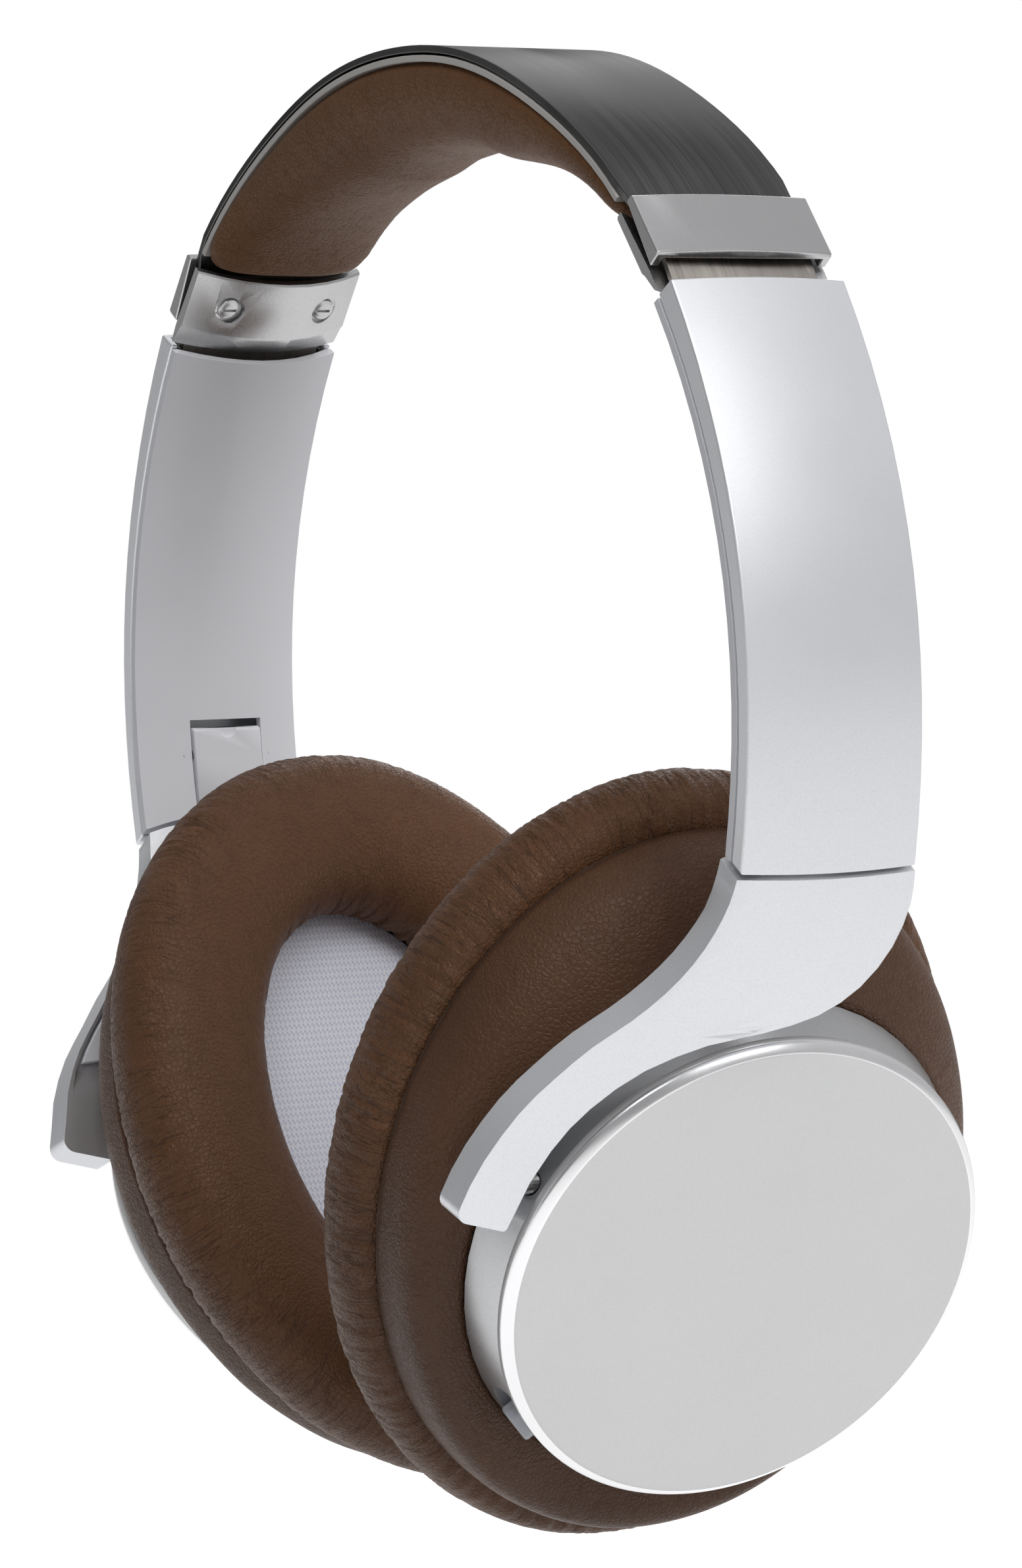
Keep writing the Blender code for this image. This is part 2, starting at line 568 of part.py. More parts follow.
    # The yoke, with the fold hinge's knuckle as its own leaf.
    yoke = add(f"yoke_{tag}", yoke_skin(list(range(YOKE_ROWS + 1)), YOKE_ACROSS, yoke_crown, yoke_back, side), SILVER, arm_axis)
    lining = [7.3] + list(range(8, YOKE_ROWS - 3)) + [YOKE_ROWS - 3.3]
    add(f"yoke_liner_{tag}", yoke_skin(lining, (-0.73, -0.37, 0.0, 0.37, 0.73), lambda k, t, y: YOKE_THICK - 0.75 * MM + (ARM_BULGE - 0.4 * MM) * (1 - t * t) * (1 - smoothstep(k / 9.0)),
                                       lambda k, t, y: YOKE_THICK + 0.1 * MM + (ARM_BULGE - 0.4 * MM) * (1 - t * t) * (1 - smoothstep(k / 9.0)), side, False), WHITE, arm_axis)
    pin_at = Vector((FOLD_PIN[0], 0, FOLD_PIN[1] + ARM_TOP_Z))
    leaf = []
    outline = ((2.4, 1.0), (1.6, 3.2), (0.2, 4.0), (-0.8, 4.1), (-1.5, 3.7), (-1.9, 0.0), (-2.8, -6.3), (-0.6, -8.0), (2.2, -9.5), (2.6, -5.0))
    for y in (-FOLD_LEAF_HALF, FOLD_LEAF_HALF):
        leaf.append([side_x(pin_at + Vector((x * MM, y, z * MM)), side) for x, z in outline])
    leaf_obj = add(f"fold_leaf_{tag}", rings(leaf), WHITE, arm_axis)
    pin_hole = add(f"cut_fold_pin_{tag}", rod_bm(side_x(pin_at + Vector((0, -7 * MM, 0)), side), side_x(pin_at + Vector((0, 7 * MM, 0)), side), 1.0 * MM), None, arm_axis, CUTTERS)
    cut(leaf_obj, pin_hole, "Pin")
    cut(cover, pin_hole, "Pin")
    notch = add(f"cut_notch_{tag}", rod_bm(side_x(pin_at + Vector((-6.5 * MM, 0, 4.0 * MM)), side), side_x(pin_at + Vector((-1.0 * MM, 0, 4.0 * MM)), side), 1.4 * MM), None, arm_axis, CUTTERS)
    cut(leaf_obj, notch, "Notch")
    add(f"fold_pin_{tag}", rod_bm(side_x(pin_at + Vector((0, -6.6 * MM, 0)), side), side_x(pin_at + Vector((0, 6.6 * MM, 0)), side), 0.8 * MM), CLAMP_SILVER, arm_axis)

    # The cup hangs on one pin at the yoke's tip and tilts about it.
    tilt = RIGHT_EXTRA_LEAN if right else 0.0
    pivot_world = side_x(PIVOT_P, side)
    unturned = Matrix.Translation(pivot_world)
    turned_by = unturned @ Matrix.Rotation(tilt * -side, 4, "Y")
    pivot = empty(f"cup_pivot_{tag}", unturned, arm_axis)
    pin_front, pin_rear = -36.6 * MM, -26.0 * MM
    bore = add(f"cut_pivot_{tag}", rod_bm(pivot_world + Vector((0, pin_front - 0.4 * MM, 0)), pivot_world + Vector((0, pin_rear + 8 * MM, 0)), 1.63 * MM, 18), None, arm_axis, CUTTERS)
    cut(yoke, bore, "Pivot")
    add(f"pivot_pin_{tag}", rod_bm(pivot_world + Vector((0, pin_front, 0)), pivot_world + Vector((0, pin_rear, 0)), 1.4 * MM, 20), CLAMP_SILVER, arm_axis)

    # Everything on the cup is made in its untilted place and then carried by the pivot.
    o, an, bn, nn = side_x(CUP_O, side), side_x(CUP_A, side), side_x(CUP_B, side), side_x(CUP_N, side)
    frame = Matrix.Identity(4)
    for col, vec in enumerate((an * side, bn, nn)):
        for r in range(3):
            frame[r][col] = vec[r]
    frame.translation = o
    cup = empty(f"cup_frame_{tag}", frame, pivot)
    clip_depth = -HOUSING_DEPTH
    turned(f"disc_cap_{tag}", [(0.0, 0.0), (DISC_R - 1.3 * MM, 0.0), (DISC_R, -0.9 * MM), (DISC_R, -DISC_THICK), (29.0 * MM, -DISC_THICK),
           (29.0 * MM, -3.5 * MM), (27.4 * MM, -3.5 * MM), (27.4 * MM, -DISC_THICK), (0.0, -DISC_THICK)], ANODISED, cup, steps=56)
    housing = turned(f"housing_{tag}", [(HOUSING_R_FRONT, -3.1 * MM), (HOUSING_R_FRONT + 0.25 * MM, -3.4 * MM), (HOUSING_R_BACK, clip_depth), (31.9 * MM, clip_depth),
                     (31.9 * MM, -12.6 * MM), (HOUSING_BORE_R, -12.6 * MM), (HOUSING_BORE_R, -3.1 * MM)], SILVER, cup, steps=56)
    hole = add(f"cut_housing_pivot_{tag}", rod_bm(pivot_world + Vector((0, -40 * MM, 0)), pivot_world + Vector((0, -18 * MM, 0)), 1.6 * MM, 20), None, pivot, CUTTERS)
    cut(housing, hole, "Pivot")
    back = add(f"cup_back_{tag}", rings(mirrored(ring_of(lambda t: back_profile(t, 0.0) + back_profile(t, 2.0 * MM)[::-1]), side), True), LEATHER, cup)
    add(f"ear_cushion_{tag}", rings(mirrored(ring_of(cushion_profile), side), True), LEATHER, cup)
    # Baffle, driver, diaphragm and cloth lie in the cushion's plane.
    pf = Matrix.Identity(4)
    pa, pb, pn = side_x(PAD_A, side), side_x(PAD_B, side), side_x(PAD_N, side)
    for col, vec in enumerate((pa * side, pb, pn)):
        for r in range(3):
            pf[r][col] = vec[r]
    pf.translation = side_x(SEAM_O, side)
    plane = empty(f"baffle_frame_{tag}", pf, cup)
    def plate_of(a, b, z0, z1, hole_r=None):
        count = ROUND
        sections = []
        for i in range(count):
            t = 2 * math.pi * i / count
            c, s = math.cos(t), math.sin(t)
            sections.append([Vector((a * c, b * s, z1)), Vector((a * c, b * s, z0)), Vector((hole_r * c, hole_r * s, z0)), Vector((hole_r * c, hole_r * s, z1))])
        return sections
    def local(sections):
        return [[plane.matrix_world @ p for p in sec] for sec in sections]
    add(f"baffle_{tag}", rings(local(plate_of(SEAM_A - 2.6 * MM, SEAM_B - 2.6 * MM, 0.4 * MM, 2.2 * MM, 17.4 * MM)), True), DARK, cup)
    sheet = [[Vector((19.3 * MM * math.cos(2 * math.pi * i / 32), 28.4 * MM * math.sin(2 * math.pi * i / 32), z)) for i in range(32)] for z in (-0.4 * MM, -1.0 * MM)]
    add(f"baffle_cloth_{tag}", rings(local(sheet)), CLOTH, cup)
    turned(f"driver_frame_{tag}", [(17.0 * MM, 4.9 * MM), (DRIVER_R, 4.9 * MM), (DRIVER_R, 2.6 * MM), (16.2 * MM, 2.6 * MM), (16.2 * MM, 3.6 * MM)], DARK, plane, steps=36)
    turned(f"diaphragm_{tag}", [(0.0, 3.0 * MM), (7.0 * MM, 2.5 * MM), (11.0 * MM, 1.6 * MM), (15.6 * MM, 1.7 * MM), (15.6 * MM, 1.2 * MM), (11.0 * MM, 1.0 * MM),
           (6.8 * MM, 1.9 * MM), (0.0, 2.4 * MM)], CONE, plane, steps=36)
    turned(f"driver_magnet_{tag}", [(0.0, 9.4 * MM), (9.0 * MM, 9.4 * MM), (9.4 * MM, 9.0 * MM), (9.4 * MM, 5.4 * MM), (14.5 * MM, 5.2 * MM),
           (14.5 * MM, 3.9 * MM), (8.6 * MM, 3.9 * MM), (0.0, 3.9 * MM)], CLAMP_SILVER, plane, steps=36)

    # Controls and sockets through the housing's wall.
    def rim_frame(angle_deg, depth):
        """On the housing wall: local Z points out through the wall, local X round it."""
        t = math.radians(angle_deg)
        radial = CUP_A * math.cos(t) + CUP_B * math.sin(t)
        round_ = -CUP_A * math.sin(t) + CUP_B * math.cos(t)
        radius = HOUSING_R_FRONT + (HOUSING_R_BACK - HOUSING_R_FRONT) * (depth - 3.2 * MM) / (HOUSING_DEPTH - 3.2 * MM)
        m = Matrix.Identity(4)
        cols = (side_x(round_, side) * -side, side_x(-CUP_N, side), side_x(radial, side))
        for col, vec in enumerate(cols):
            for r in range(3):
                m[r][col] = vec[r]
        m.translation = side_x(disc_point(radius, t, depth), side)
        return m
    def pill(length, width, z0, z1, frame_m, n=7):
        ring = []
        for cx, a0 in ((length / 2 - width / 2, -90), (-(length / 2 - width / 2), 90)):
            for i in range(n):
                ang = math.radians(a0 + 180 * i / (n - 1))
                ring.append((cx + width / 2 * math.cos(ang), width / 2 * math.sin(ang)))
        return rings([[frame_m @ Vector((x, y, z)) for x, y in ring] for z in (z0, z1)])
    def button(name, angle, length, mat):
        m = rim_frame(angle, 6.6 * MM)
        hole_b = add(f"cut_{name}", pill(length + 0.6 * MM, 4.0 * MM, -6 * MM, 4 * MM, m), None, cup, CUTTERS)
        cut(housing, hole_b, name)
        key = empty(f"{name}_axis", m, cup)
        add(name, pill(length, 3.4 * MM, -3.6 * MM, 0.9 * MM, m), mat, key)
    if right:
        button("button_forward", BUTTON_ANGLES[0], 8.8 * MM, BUTTON_MAT)
        button("button_play", BUTTON_ANGLES[1], 8.8 * MM, BUTTON_MAT)
        button("button_back", BUTTON_ANGLES[2], 8.8 * MM, BUTTON_MAT)
        m = rim_frame(262.0, 6.6 * MM)
        port = add("charge_port", pill(8.6 * MM, 3.2 * MM, -6.0 * MM, -0.5 * MM, m), CLAMP_SILVER, cup)
        slot_c = add("cut_port_slot", pill(7.4 * MM, 2.2 * MM, -4.6 * MM, 4 * MM, m), None, cup, CUTTERS)
        cut(port, slot_c, "Slot")
        cut(housing, add("cut_port", pill(9.2 * MM, 3.8 * MM, -8 * MM, 4 * MM, m), None, cup, CUTTERS), "Port")
        board = box_bm(cup.matrix_world @ Matrix.Translation((0, 2 * MM, -6.0 * MM)), (40 * MM, 30 * MM, 1.2 * MM))
        add("circuit_board", board, BOARD, cup)
    else:
        m = rim_frame(SWITCH_ANGLE, 6.6 * MM)
        cut(housing, add("cut_switch", pill(9.6 * MM, 4.0 * MM, -6 * MM, 4 * MM, m), None, cup, CUTTERS), "Switch")
        key = empty("noise_switch_axis", m, cup)
        add("noise_switch", pill(6.0 * MM, 3.4 * MM, -3.4 * MM, 1.2 * MM, m @ Matrix.Translation((-1.5 * MM, 0, 0))), BUTTON_MAT, key)
        m = rim_frame(262.0, 6.6 * MM)
        cut(housing, add("cut_jack", rod_bm(m @ Vector((0, 0, -8 * MM)), m @ Vector((0, 0, 4 * MM)), 3.0 * MM, 24), None, cup, CUTTERS), "Jack")
        jack = add("jack_socket", rod_bm(m @ Vector((0, 0, -11.0 * MM)), m @ Vector((0, 0, -0.4 * MM)), 2.5 * MM, 24), BRASS, cup)
        cut(jack, add("cut_jack_bore", rod_bm(m @ Vector((0, 0, -9.5 * MM)), m @ Vector((0, 0, 3 * MM)), 1.8 * MM, 20), None, cup, CUTTERS), "Bore")
        cell = box_bm(cup.matrix_world @ Matrix.Translation((0, 2 * MM, -6.2 * MM)), (36 * MM, 22 * MM, 4.4 * MM))
        bmesh.ops.bevel(cell, geom=[e for e in cell.edges], offset=0.8 * MM, segments=2, affect="EDGES", profile=0.5)
        add("battery", cell, CELL, cup)
    if tilt:
        pivot.matrix_world = turned_by
    bpy.context.view_layer.update()


build_side(1, "left")
build_side(-1, "right")
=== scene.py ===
"""Looks for the over ear headphones: leather soft goods, satin and brushed metal, knitted cloth."""
import json
import math

import bmesh
import bpy
from mathutils import Matrix, Vector, noise


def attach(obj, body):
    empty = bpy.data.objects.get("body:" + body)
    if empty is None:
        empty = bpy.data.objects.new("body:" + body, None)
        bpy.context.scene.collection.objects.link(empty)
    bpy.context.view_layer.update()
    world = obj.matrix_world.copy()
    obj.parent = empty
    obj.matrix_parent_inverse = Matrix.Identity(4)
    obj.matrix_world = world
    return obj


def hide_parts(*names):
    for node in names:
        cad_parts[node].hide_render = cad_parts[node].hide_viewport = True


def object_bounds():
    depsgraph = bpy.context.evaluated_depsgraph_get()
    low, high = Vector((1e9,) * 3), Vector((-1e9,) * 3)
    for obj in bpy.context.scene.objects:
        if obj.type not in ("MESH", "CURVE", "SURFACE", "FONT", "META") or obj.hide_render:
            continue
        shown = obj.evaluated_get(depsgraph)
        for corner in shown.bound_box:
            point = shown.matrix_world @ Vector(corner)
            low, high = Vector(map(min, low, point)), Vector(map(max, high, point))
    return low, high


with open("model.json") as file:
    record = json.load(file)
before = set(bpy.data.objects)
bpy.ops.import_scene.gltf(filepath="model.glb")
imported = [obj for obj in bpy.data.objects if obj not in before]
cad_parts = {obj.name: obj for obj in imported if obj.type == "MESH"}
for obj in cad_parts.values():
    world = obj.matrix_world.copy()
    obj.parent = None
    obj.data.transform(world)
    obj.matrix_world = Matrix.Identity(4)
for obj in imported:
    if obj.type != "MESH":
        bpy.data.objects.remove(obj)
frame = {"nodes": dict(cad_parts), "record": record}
CAD_LO, CAD_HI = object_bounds()
NODES = frame["nodes"]
RECORD = frame["record"]
BODY = {n: b for b, names in RECORD["behaviour"]["bodies"].items() for n in names}
MM = 0.001
scene = bpy.context.scene
scene.view_settings.view_transform = "Standard"


# ------------------------------------------------------------------ node helpers
def new_material(name):
    mat = bpy.data.materials.new(name)
    mat.use_nodes = True
    return mat, mat.node_tree, mat.node_tree.nodes["Principled BSDF"]


def node(tree, kind, **values):
    made = tree.nodes.new(kind)
    for key, value in values.items():
        if hasattr(made, key):
            setattr(made, key, value)
        else:
            made.inputs[key.replace("_", " ")].default_value = value
    return made


def coords(tree, scale=(1, 1, 1), kind="Object", rotation=(0, 0, 0)):
    tc = tree.nodes.new("ShaderNodeTexCoord")
    mp = tree.nodes.new("ShaderNodeMapping")
    mp.inputs["Scale"].default_value = scale
    mp.inputs["Rotation"].default_value = rotation
    tree.links.new(tc.outputs[kind], mp.inputs["Vector"])
    return mp.outputs["Vector"]


def noise_tex(tree, vector, scale, detail=2.0, rough=0.5, distortion=0.0):
    t = tree.nodes.new("ShaderNodeTexNoise")
    t.inputs["Scale"].default_value = scale
    t.inputs["Detail"].default_value = detail
    t.inputs["Roughness"].default_value = rough
    t.inputs["Distortion"].default_value = distortion
    tree.links.new(vector, t.inputs["Vector"])
    return t.outputs["Fac"]


def voronoi(tree, vector, scale, feature="F1", randomness=1.0):
    t = tree.nodes.new("ShaderNodeTexVoronoi")
    t.feature = feature
    t.inputs["Scale"].default_value = scale
    t.inputs["Randomness"].default_value = randomness
    tree.links.new(vector, t.inputs["Vector"])
    return t.outputs["Distance"]


def math_node(tree, op, a, b=0.0, clamp=False):
    t = tree.nodes.new("ShaderNodeMath")
    t.operation = op
    t.use_clamp = clamp
    for socket, value in ((t.inputs[0], a), (t.inputs[1], b)):
        if isinstance(value, (int, float)):
            socket.default_value = value
        else:
            tree.links.new(value, socket)
    return t.outputs[0]


def ramp(tree, fac, stops, smooth=False):
    t = tree.nodes.new("ShaderNodeValToRGB")
    if smooth:
        t.color_ramp.interpolation = "EASE"
    while len(t.color_ramp.elements) < len(stops):
        t.color_ramp.elements.new(0.5)
    for element, (place, colour) in zip(t.color_ramp.elements, stops):
        element.position = place
        element.color = (*colour, 1.0) if len(colour) == 3 else colour
    tree.links.new(fac, t.inputs["Fac"])
    return t.outputs["Color"]


def map_range(tree, value, a, b, c, d):
    t = tree.nodes.new("ShaderNodeMapRange")
    tree.links.new(value, t.inputs["Value"])
    for name, v in (("From Min", a), ("From Max", b), ("To Min", c), ("To Max", d)):
        t.inputs[name].default_value = v
    return t.outputs["Result"]


def bump(tree, height, strength, distance, normal=None):
    t = tree.nodes.new("ShaderNodeBump")
    t.inputs["Strength"].default_value = strength
    t.inputs["Distance"].default_value = distance
    tree.links.new(height, t.inputs["Height"])
    if normal is not None:
        tree.links.new(normal, t.inputs["Normal"])
    return t.outputs["Normal"]


# ------------------------------------------------------------------- materials
def crease_lines(tree):
    """Short cracks that run across the cushion's side, and worn pale specks, both kept to the side by a mask."""
    tc = tree.nodes.new("ShaderNodeTexCoord")
    def stretched(u, v):
        mp = tree.nodes.new("ShaderNodeMapping")
        mp.inputs["Scale"].default_value = (u, v, 1)
        tree.links.new(tc.outputs["UV"], mp.inputs["Vector"])
        return mp.outputs["Vector"]
    def cracks(u, v, width):
        n = noise_tex(tree, stretched(u, v), 1.0, 2, 0.45, 0.12)
        off = math_node(tree, "ABSOLUTE", math_node(tree, "SUBTRACT", n, 0.5))
        return map_range(tree, off, 0.0, width, 1.0, 0.0)
    side = tree.nodes.new("ShaderNodeAttribute")
    side.attribute_name = "creased"
    where = map_range(tree, noise_tex(tree, stretched(0.09, 0.12), 1.0, 2), 0.36, 0.6, 0.25, 1.0)
    mask = math_node(tree, "MULTIPLY", side.outputs["Fac"], where)
    both = math_node(tree, "MAXIMUM", cracks(0.85, 0.075, 0.03), math_node(tree, "MULTIPLY", cracks(2.1, 0.22, 0.035), 0.45))
    specks = voronoi(tree, stretched(1.6, 1.6), 1.0, "DISTANCE_TO_EDGE")
    specks = math_node(tree, "MULTIPLY", map_range(tree, specks, 0.0, 0.07, 1.0, 0.0), map_range(tree, noise_tex(tree, stretched(0.3, 0.3), 1.0, 3), 0.5, 0.62, 0.0, 1.0))
    return math_node(tree, "MULTIPLY", both, mask), math_node(tree, "MULTIPLY", specks, mask)


def leather(name, dark, light, rough=0.46, grain=1.0, creased=False):
    mat, tree, bsdf = new_material(name)
    v = coords(tree)
    warp = noise_tex(tree, v, 420, 3)
    cells = voronoi(tree, v, 1350, "DISTANCE_TO_EDGE")
    big = voronoi(tree, v, 620, "SMOOTH_F1")
    fine = noise_tex(tree, v, 3600, 3, 0.6)
    creases = noise_tex(tree, coords(tree, (1, 1, 1)), 170, 5, 0.62, 1.4)
    crease_line = math_node(tree, "ABSOLUTE", math_node(tree, "SUBTRACT", creases, 0.5))
    crease_line = map_range(tree, crease_line, 0.0, 0.05, 0.0, 1.0)
    pebble = math_node(tree, "MULTIPLY", map_range(tree, cells, 0.0, 0.22, 0.0, 1.0), 0.7)
    height = math_node(tree, "ADD", pebble, math_node(tree, "MULTIPLY", big, 0.35))
    height = math_node(tree, "ADD", height, math_node(tree, "MULTIPLY", fine, 0.18))
    height = math_node(tree, "ADD", height, math_node(tree, "MULTIPLY", crease_line, 0.35))
    patch = noise_tex(tree, v, 38, 4, 0.55)
    tone = math_node(tree, "ADD", math_node(tree, "MULTIPLY", patch, 0.75), math_node(tree, "MULTIPLY", warp, 0.25))
    base = ramp(tree, tone, [(0.3, dark), (0.7, light)])
    if creased:
        lines, pale = crease_lines(tree)
        height = math_node(tree, "SUBTRACT", height, math_node(tree, "MULTIPLY", lines, 1.1))
        lighter = tree.nodes.new("ShaderNodeMixRGB")
        lighter.inputs["Color2"].default_value = (0.30, 0.18, 0.11, 1)
        tree.links.new(math_node(tree, "MULTIPLY", pale, 0.4), lighter.inputs["Fac"])
        tree.links.new(base, lighter.inputs["Color1"])
        darker = tree.nodes.new("ShaderNodeMixRGB")
        darker.inputs["Color2"].default_value = (0.018, 0.008, 0.004, 1)
        tree.links.new(math_node(tree, "MULTIPLY", lines, 0.42), darker.inputs["Fac"])
        tree.links.new(lighter.outputs["Color"], darker.inputs["Color1"])
        base = darker.outputs["Color"]
    mix = tree.nodes.new("ShaderNodeMixRGB")
    mix.blend_type = "MULTIPLY"
    mix.inputs["Fac"].default_value = 0.55
    tree.links.new(base, mix.inputs["Color1"])
    tree.links.new(ramp(tree, height, [(0.15, (0.55, 0.52, 0.5)), (0.75, (1.0, 1.0, 1.0))]), mix.inputs["Color2"])
    tree.links.new(mix.outputs["Color"], bsdf.inputs["Base Color"])
    tree.links.new(map_range(tree, height, 0.2, 1.1, rough + 0.14, rough - 0.05), bsdf.inputs["Roughness"])
    tree.links.new(bump(tree, height, 0.42 * grain, 0.00016), bsdf.inputs["Normal"])
    bsdf.inputs["Specular IOR Level"].default_value = 0.3
    bsdf.inputs["Sheen Weight"].default_value = 0.02
    bsdf.inputs["Sheen Roughness"].default_value = 0.4
    return mat


def satin_paint(name, colour, metal=0.75, rough=0.34, sparkle=0.05):
    mat, tree, bsdf = new_material(name)
    v = coords(tree)
    flake = voronoi(tree, v, 5200)
    soft = noise_tex(tree, v, 60, 3)
    peel = noise_tex(tree, v, 900, 2)
    shade = [tuple(c * k for c in colour) for k in (1 - sparkle, 1 + sparkle * 0.6)]
    tree.links.new(ramp(tree, flake, [(0.1, shade[1]), (0.8, shade[0])]), bsdf.inputs["Base Color"])
    tree.links.new(map_range(tree, math_node(tree, "ADD", math_node(tree, "MULTIPLY", flake, 0.5), math_node(tree, "MULTIPLY", soft, 0.5)), 0.1, 0.7, rough - 0.05, rough + 0.07), bsdf.inputs["Roughness"])
    bsdf.inputs["Metallic"].default_value = metal
    bsdf.inputs["Coat Weight"].default_value = 0.12
    bsdf.inputs["Coat Roughness"].default_value = 0.2
    tree.links.new(bump(tree, math_node(tree, "ADD", math_node(tree, "MULTIPLY", flake, 0.4), peel), 0.05, 0.00004), bsdf.inputs["Normal"])
    return mat


def brushed(name, dark, light, rough, across="y", strength=0.18, metal=1.0, edge=1.0):
    """Brush lines run along the arch, so the noise is fine across the strip and long along it."""
    mat, tree, bsdf = new_material(name)
    scale = {"y": (26, 5200, 26), "x": (5200, 30, 30)}[across]
    lines = noise_tex(tree, coords(tree, scale), 1.0, 5, 0.72)
    wide = noise_tex(tree, coords(tree, (12, 700, 12)), 1.0, 3, 0.6)
    blotch = noise_tex(tree, coords(tree), 45, 3)
    mixv = math_node(tree, "ADD", math_node(tree, "MULTIPLY", lines, 0.55), math_node(tree, "MULTIPLY", wide, 0.3))
    mixv = math_node(tree, "ADD", mixv, math_node(tree, "MULTIPLY", blotch, 0.15))
    tree.links.new(ramp(tree, mixv, [(0.34, dark), (0.66, light)]), bsdf.inputs["Base Color"])
    tree.links.new(map_range(tree, mixv, 0.3, 0.7, rough - 0.07, rough + 0.12), bsdf.inputs["Roughness"])
    bsdf.inputs["Metallic"].default_value = metal
    bsdf.inputs["Anisotropic"].default_value = 0.5
    bsdf.inputs["Specular Tint"].default_value = (edge, edge, edge, 1)
    tree.links.new(bump(tree, mixv, strength, 0.00003), bsdf.inputs["Normal"])
    return mat


def plain(name, colour, rough=0.5, metal=0.0, texture=900, strength=0.08, spread=0.06, coat=0.0, glow=0.0):
    """Moulded plastic or plain metal with a fine moulded texture and slight tone change."""
    mat, tree, bsdf = new_material(name)
    v = coords(tree)
    fine, soft = noise_tex(tree, v, texture * 3, 3, 0.6), noise_tex(tree, v, 40, 3)
    lo, hi = [tuple(min(1.0, c * k) for c in colour) for k in (1 - spread, 1 + spread)]
    tree.links.new(ramp(tree, soft, [(0.3, lo), (0.7, hi)]), bsdf.inputs["Base Color"])
    tree.links.new(map_range(tree, fine, 0.3, 0.7, rough - 0.05, rough + 0.05), bsdf.inputs["Roughness"])
    bsdf.inputs["Metallic"].default_value = metal
    bsdf.inputs["Coat Weight"].default_value = coat
    if glow:
        bsdf.inputs["Subsurface Weight"].default_value = glow
        bsdf.inputs["Subsurface Radius"].default_value = (0.002, 0.002, 0.002)
    tree.links.new(bump(tree, fine, strength, 0.00004), bsdf.inputs["Normal"])
    return mat


def knit(name):
    """A close knitted mesh: rows of small loops from the UV map, which is in millimetres."""
    mat, tree, bsdf = new_material(name)
    tc = tree.nodes.new("ShaderNodeTexCoord")
    sep = tree.nodes.new("ShaderNodeSeparateXYZ")
    tree.links.new(tc.outputs["UV"], sep.inputs[0])
    def wave(a, freq, shift=0.0):
        return math_node(tree, "SINE", math_node(tree, "ADD", math_node(tree, "MULTIPLY", a, freq), shift))
    x, y = sep.outputs[0], sep.outputs[1]
    skew = math_node(tree, "ADD", x, math_node(tree, "MULTIPLY", wave(y, 6.3), 0.12))
    a = wave(skew, 8.4)
    b = wave(math_node(tree, "ADD", y, math_node(tree, "MULTIPLY", a, 0.1)), 6.3)
    loops = math_node(tree, "MULTIPLY", a, b)
    loops = map_range(tree, loops, -1.0, 1.0, 0.0, 1.0)
    fuzz = noise_tex(tree, coords(tree), 5200, 2)
    height = math_node(tree, "ADD", loops, math_node(tree, "MULTIPLY", fuzz, 0.3))
    tree.links.new(ramp(tree, height, [(0.1, (0.58, 0.60, 0.74)), (0.6, (0.84, 0.86, 0.96)), (1.0, (0.93, 0.94, 1.0))]), bsdf.inputs["Base Color"])
    bsdf.inputs["Roughness"].default_value = 0.85
    bsdf.inputs["Sheen Weight"].default_value = 0.3
    bsdf.inputs["Sheen Roughness"].default_value = 0.5
    tree.links.new(bump(tree, height, 0.5, 0.00018), bsdf.inputs["Normal"])
    return mat


BROWN = leather("cushion_leather", (0.100, 0.041, 0.0145), (0.146, 0.060, 0.022), 0.46, 1.35, creased=True)
BROWN_PAD = leather("pad_leather", (0.112, 0.044, 0.0095), (0.158, 0.063, 0.0155), 0.56, 1.2)
BROWN_BACK = leather("cup_leather", (0.076, 0.033, 0.0145), (0.112, 0.0495, 0.0225), 0.46, 1.3)
SILVER = satin_paint("satin_silver_paint", (0.775, 0.785, 0.81), 0.7, 0.36)
HOUSING = satin_paint("housing_silver", (0.52, 0.525, 0.535), 0.9, 0.28)
CLAMP = satin_paint("clamp_silver_satin", (0.50, 0.50, 0.505), 0.95, 0.27)
STEEL = brushed("dark_brushed_steel", (0.070, 0.069, 0.068), (0.150, 0.148, 0.146), 0.3, strength=0.12, edge=0.5)
STRIP = brushed("warm_brushed_strip", (0.34, 0.31, 0.28), (0.52, 0.485, 0.45), 0.3)
POLISH = plain("polished_edge", (0.82, 0.82, 0.83), 0.26, 1.0, 30, 0.004, 0.02)
DISC = satin_paint("anodised_disc_face", (0.70, 0.70, 0.705), 0.55, 0.42, 0.03)
WHITE = plain("white_moulded_cover", (0.93, 0.94, 0.98), 0.42, 0.0, 1100, 0.06, 0.02, 0.15)
PALE = plain("pale_moulded_trim", (0.62, 0.6, 0.57), 0.5)
CLOTH = knit("white_knitted_cloth")
DARK = plain("dark_moulded_plastic", (0.025, 0.025, 0.028), 0.5)
FILM = plain("driver_film_amber", (0.4, 0.34, 0.25), 0.3, 0.0, 600, 0.1, 0.1, 0.4)
BOARD = plain("board_green", (0.02, 0.11, 0.05), 0.4, 0.0, 700, 0.1, 0.2, 0.3)
CELL = plain("cell_wrap_blue", (0.06, 0.11, 0.24), 0.35, 0.0, 500, 0.05, 0.1, 0.5)
BUTTON = plain("button_white_satin", (0.80, 0.83, 0.90), 0.3, 0.0, 700, 0.03, 0.02, 0.3, 0.35)
BRASS = plain("socket_brass", (0.72, 0.5, 0.22), 0.25, 1.0)
CABLE = plain("ribbon_amber", (0.35, 0.15, 0.03), 0.4, 0.0, 600, 0.05, 0.1, 0.4)
# Near-black brown for the seam welt: painted shade standing in for the dark groove at the seam.
SEAM_SHADE = plain("seam_groove_painted_shade", (0.05, 0.026, 0.014), 0.6, 0.0, 2500, 0.4, 0.2)
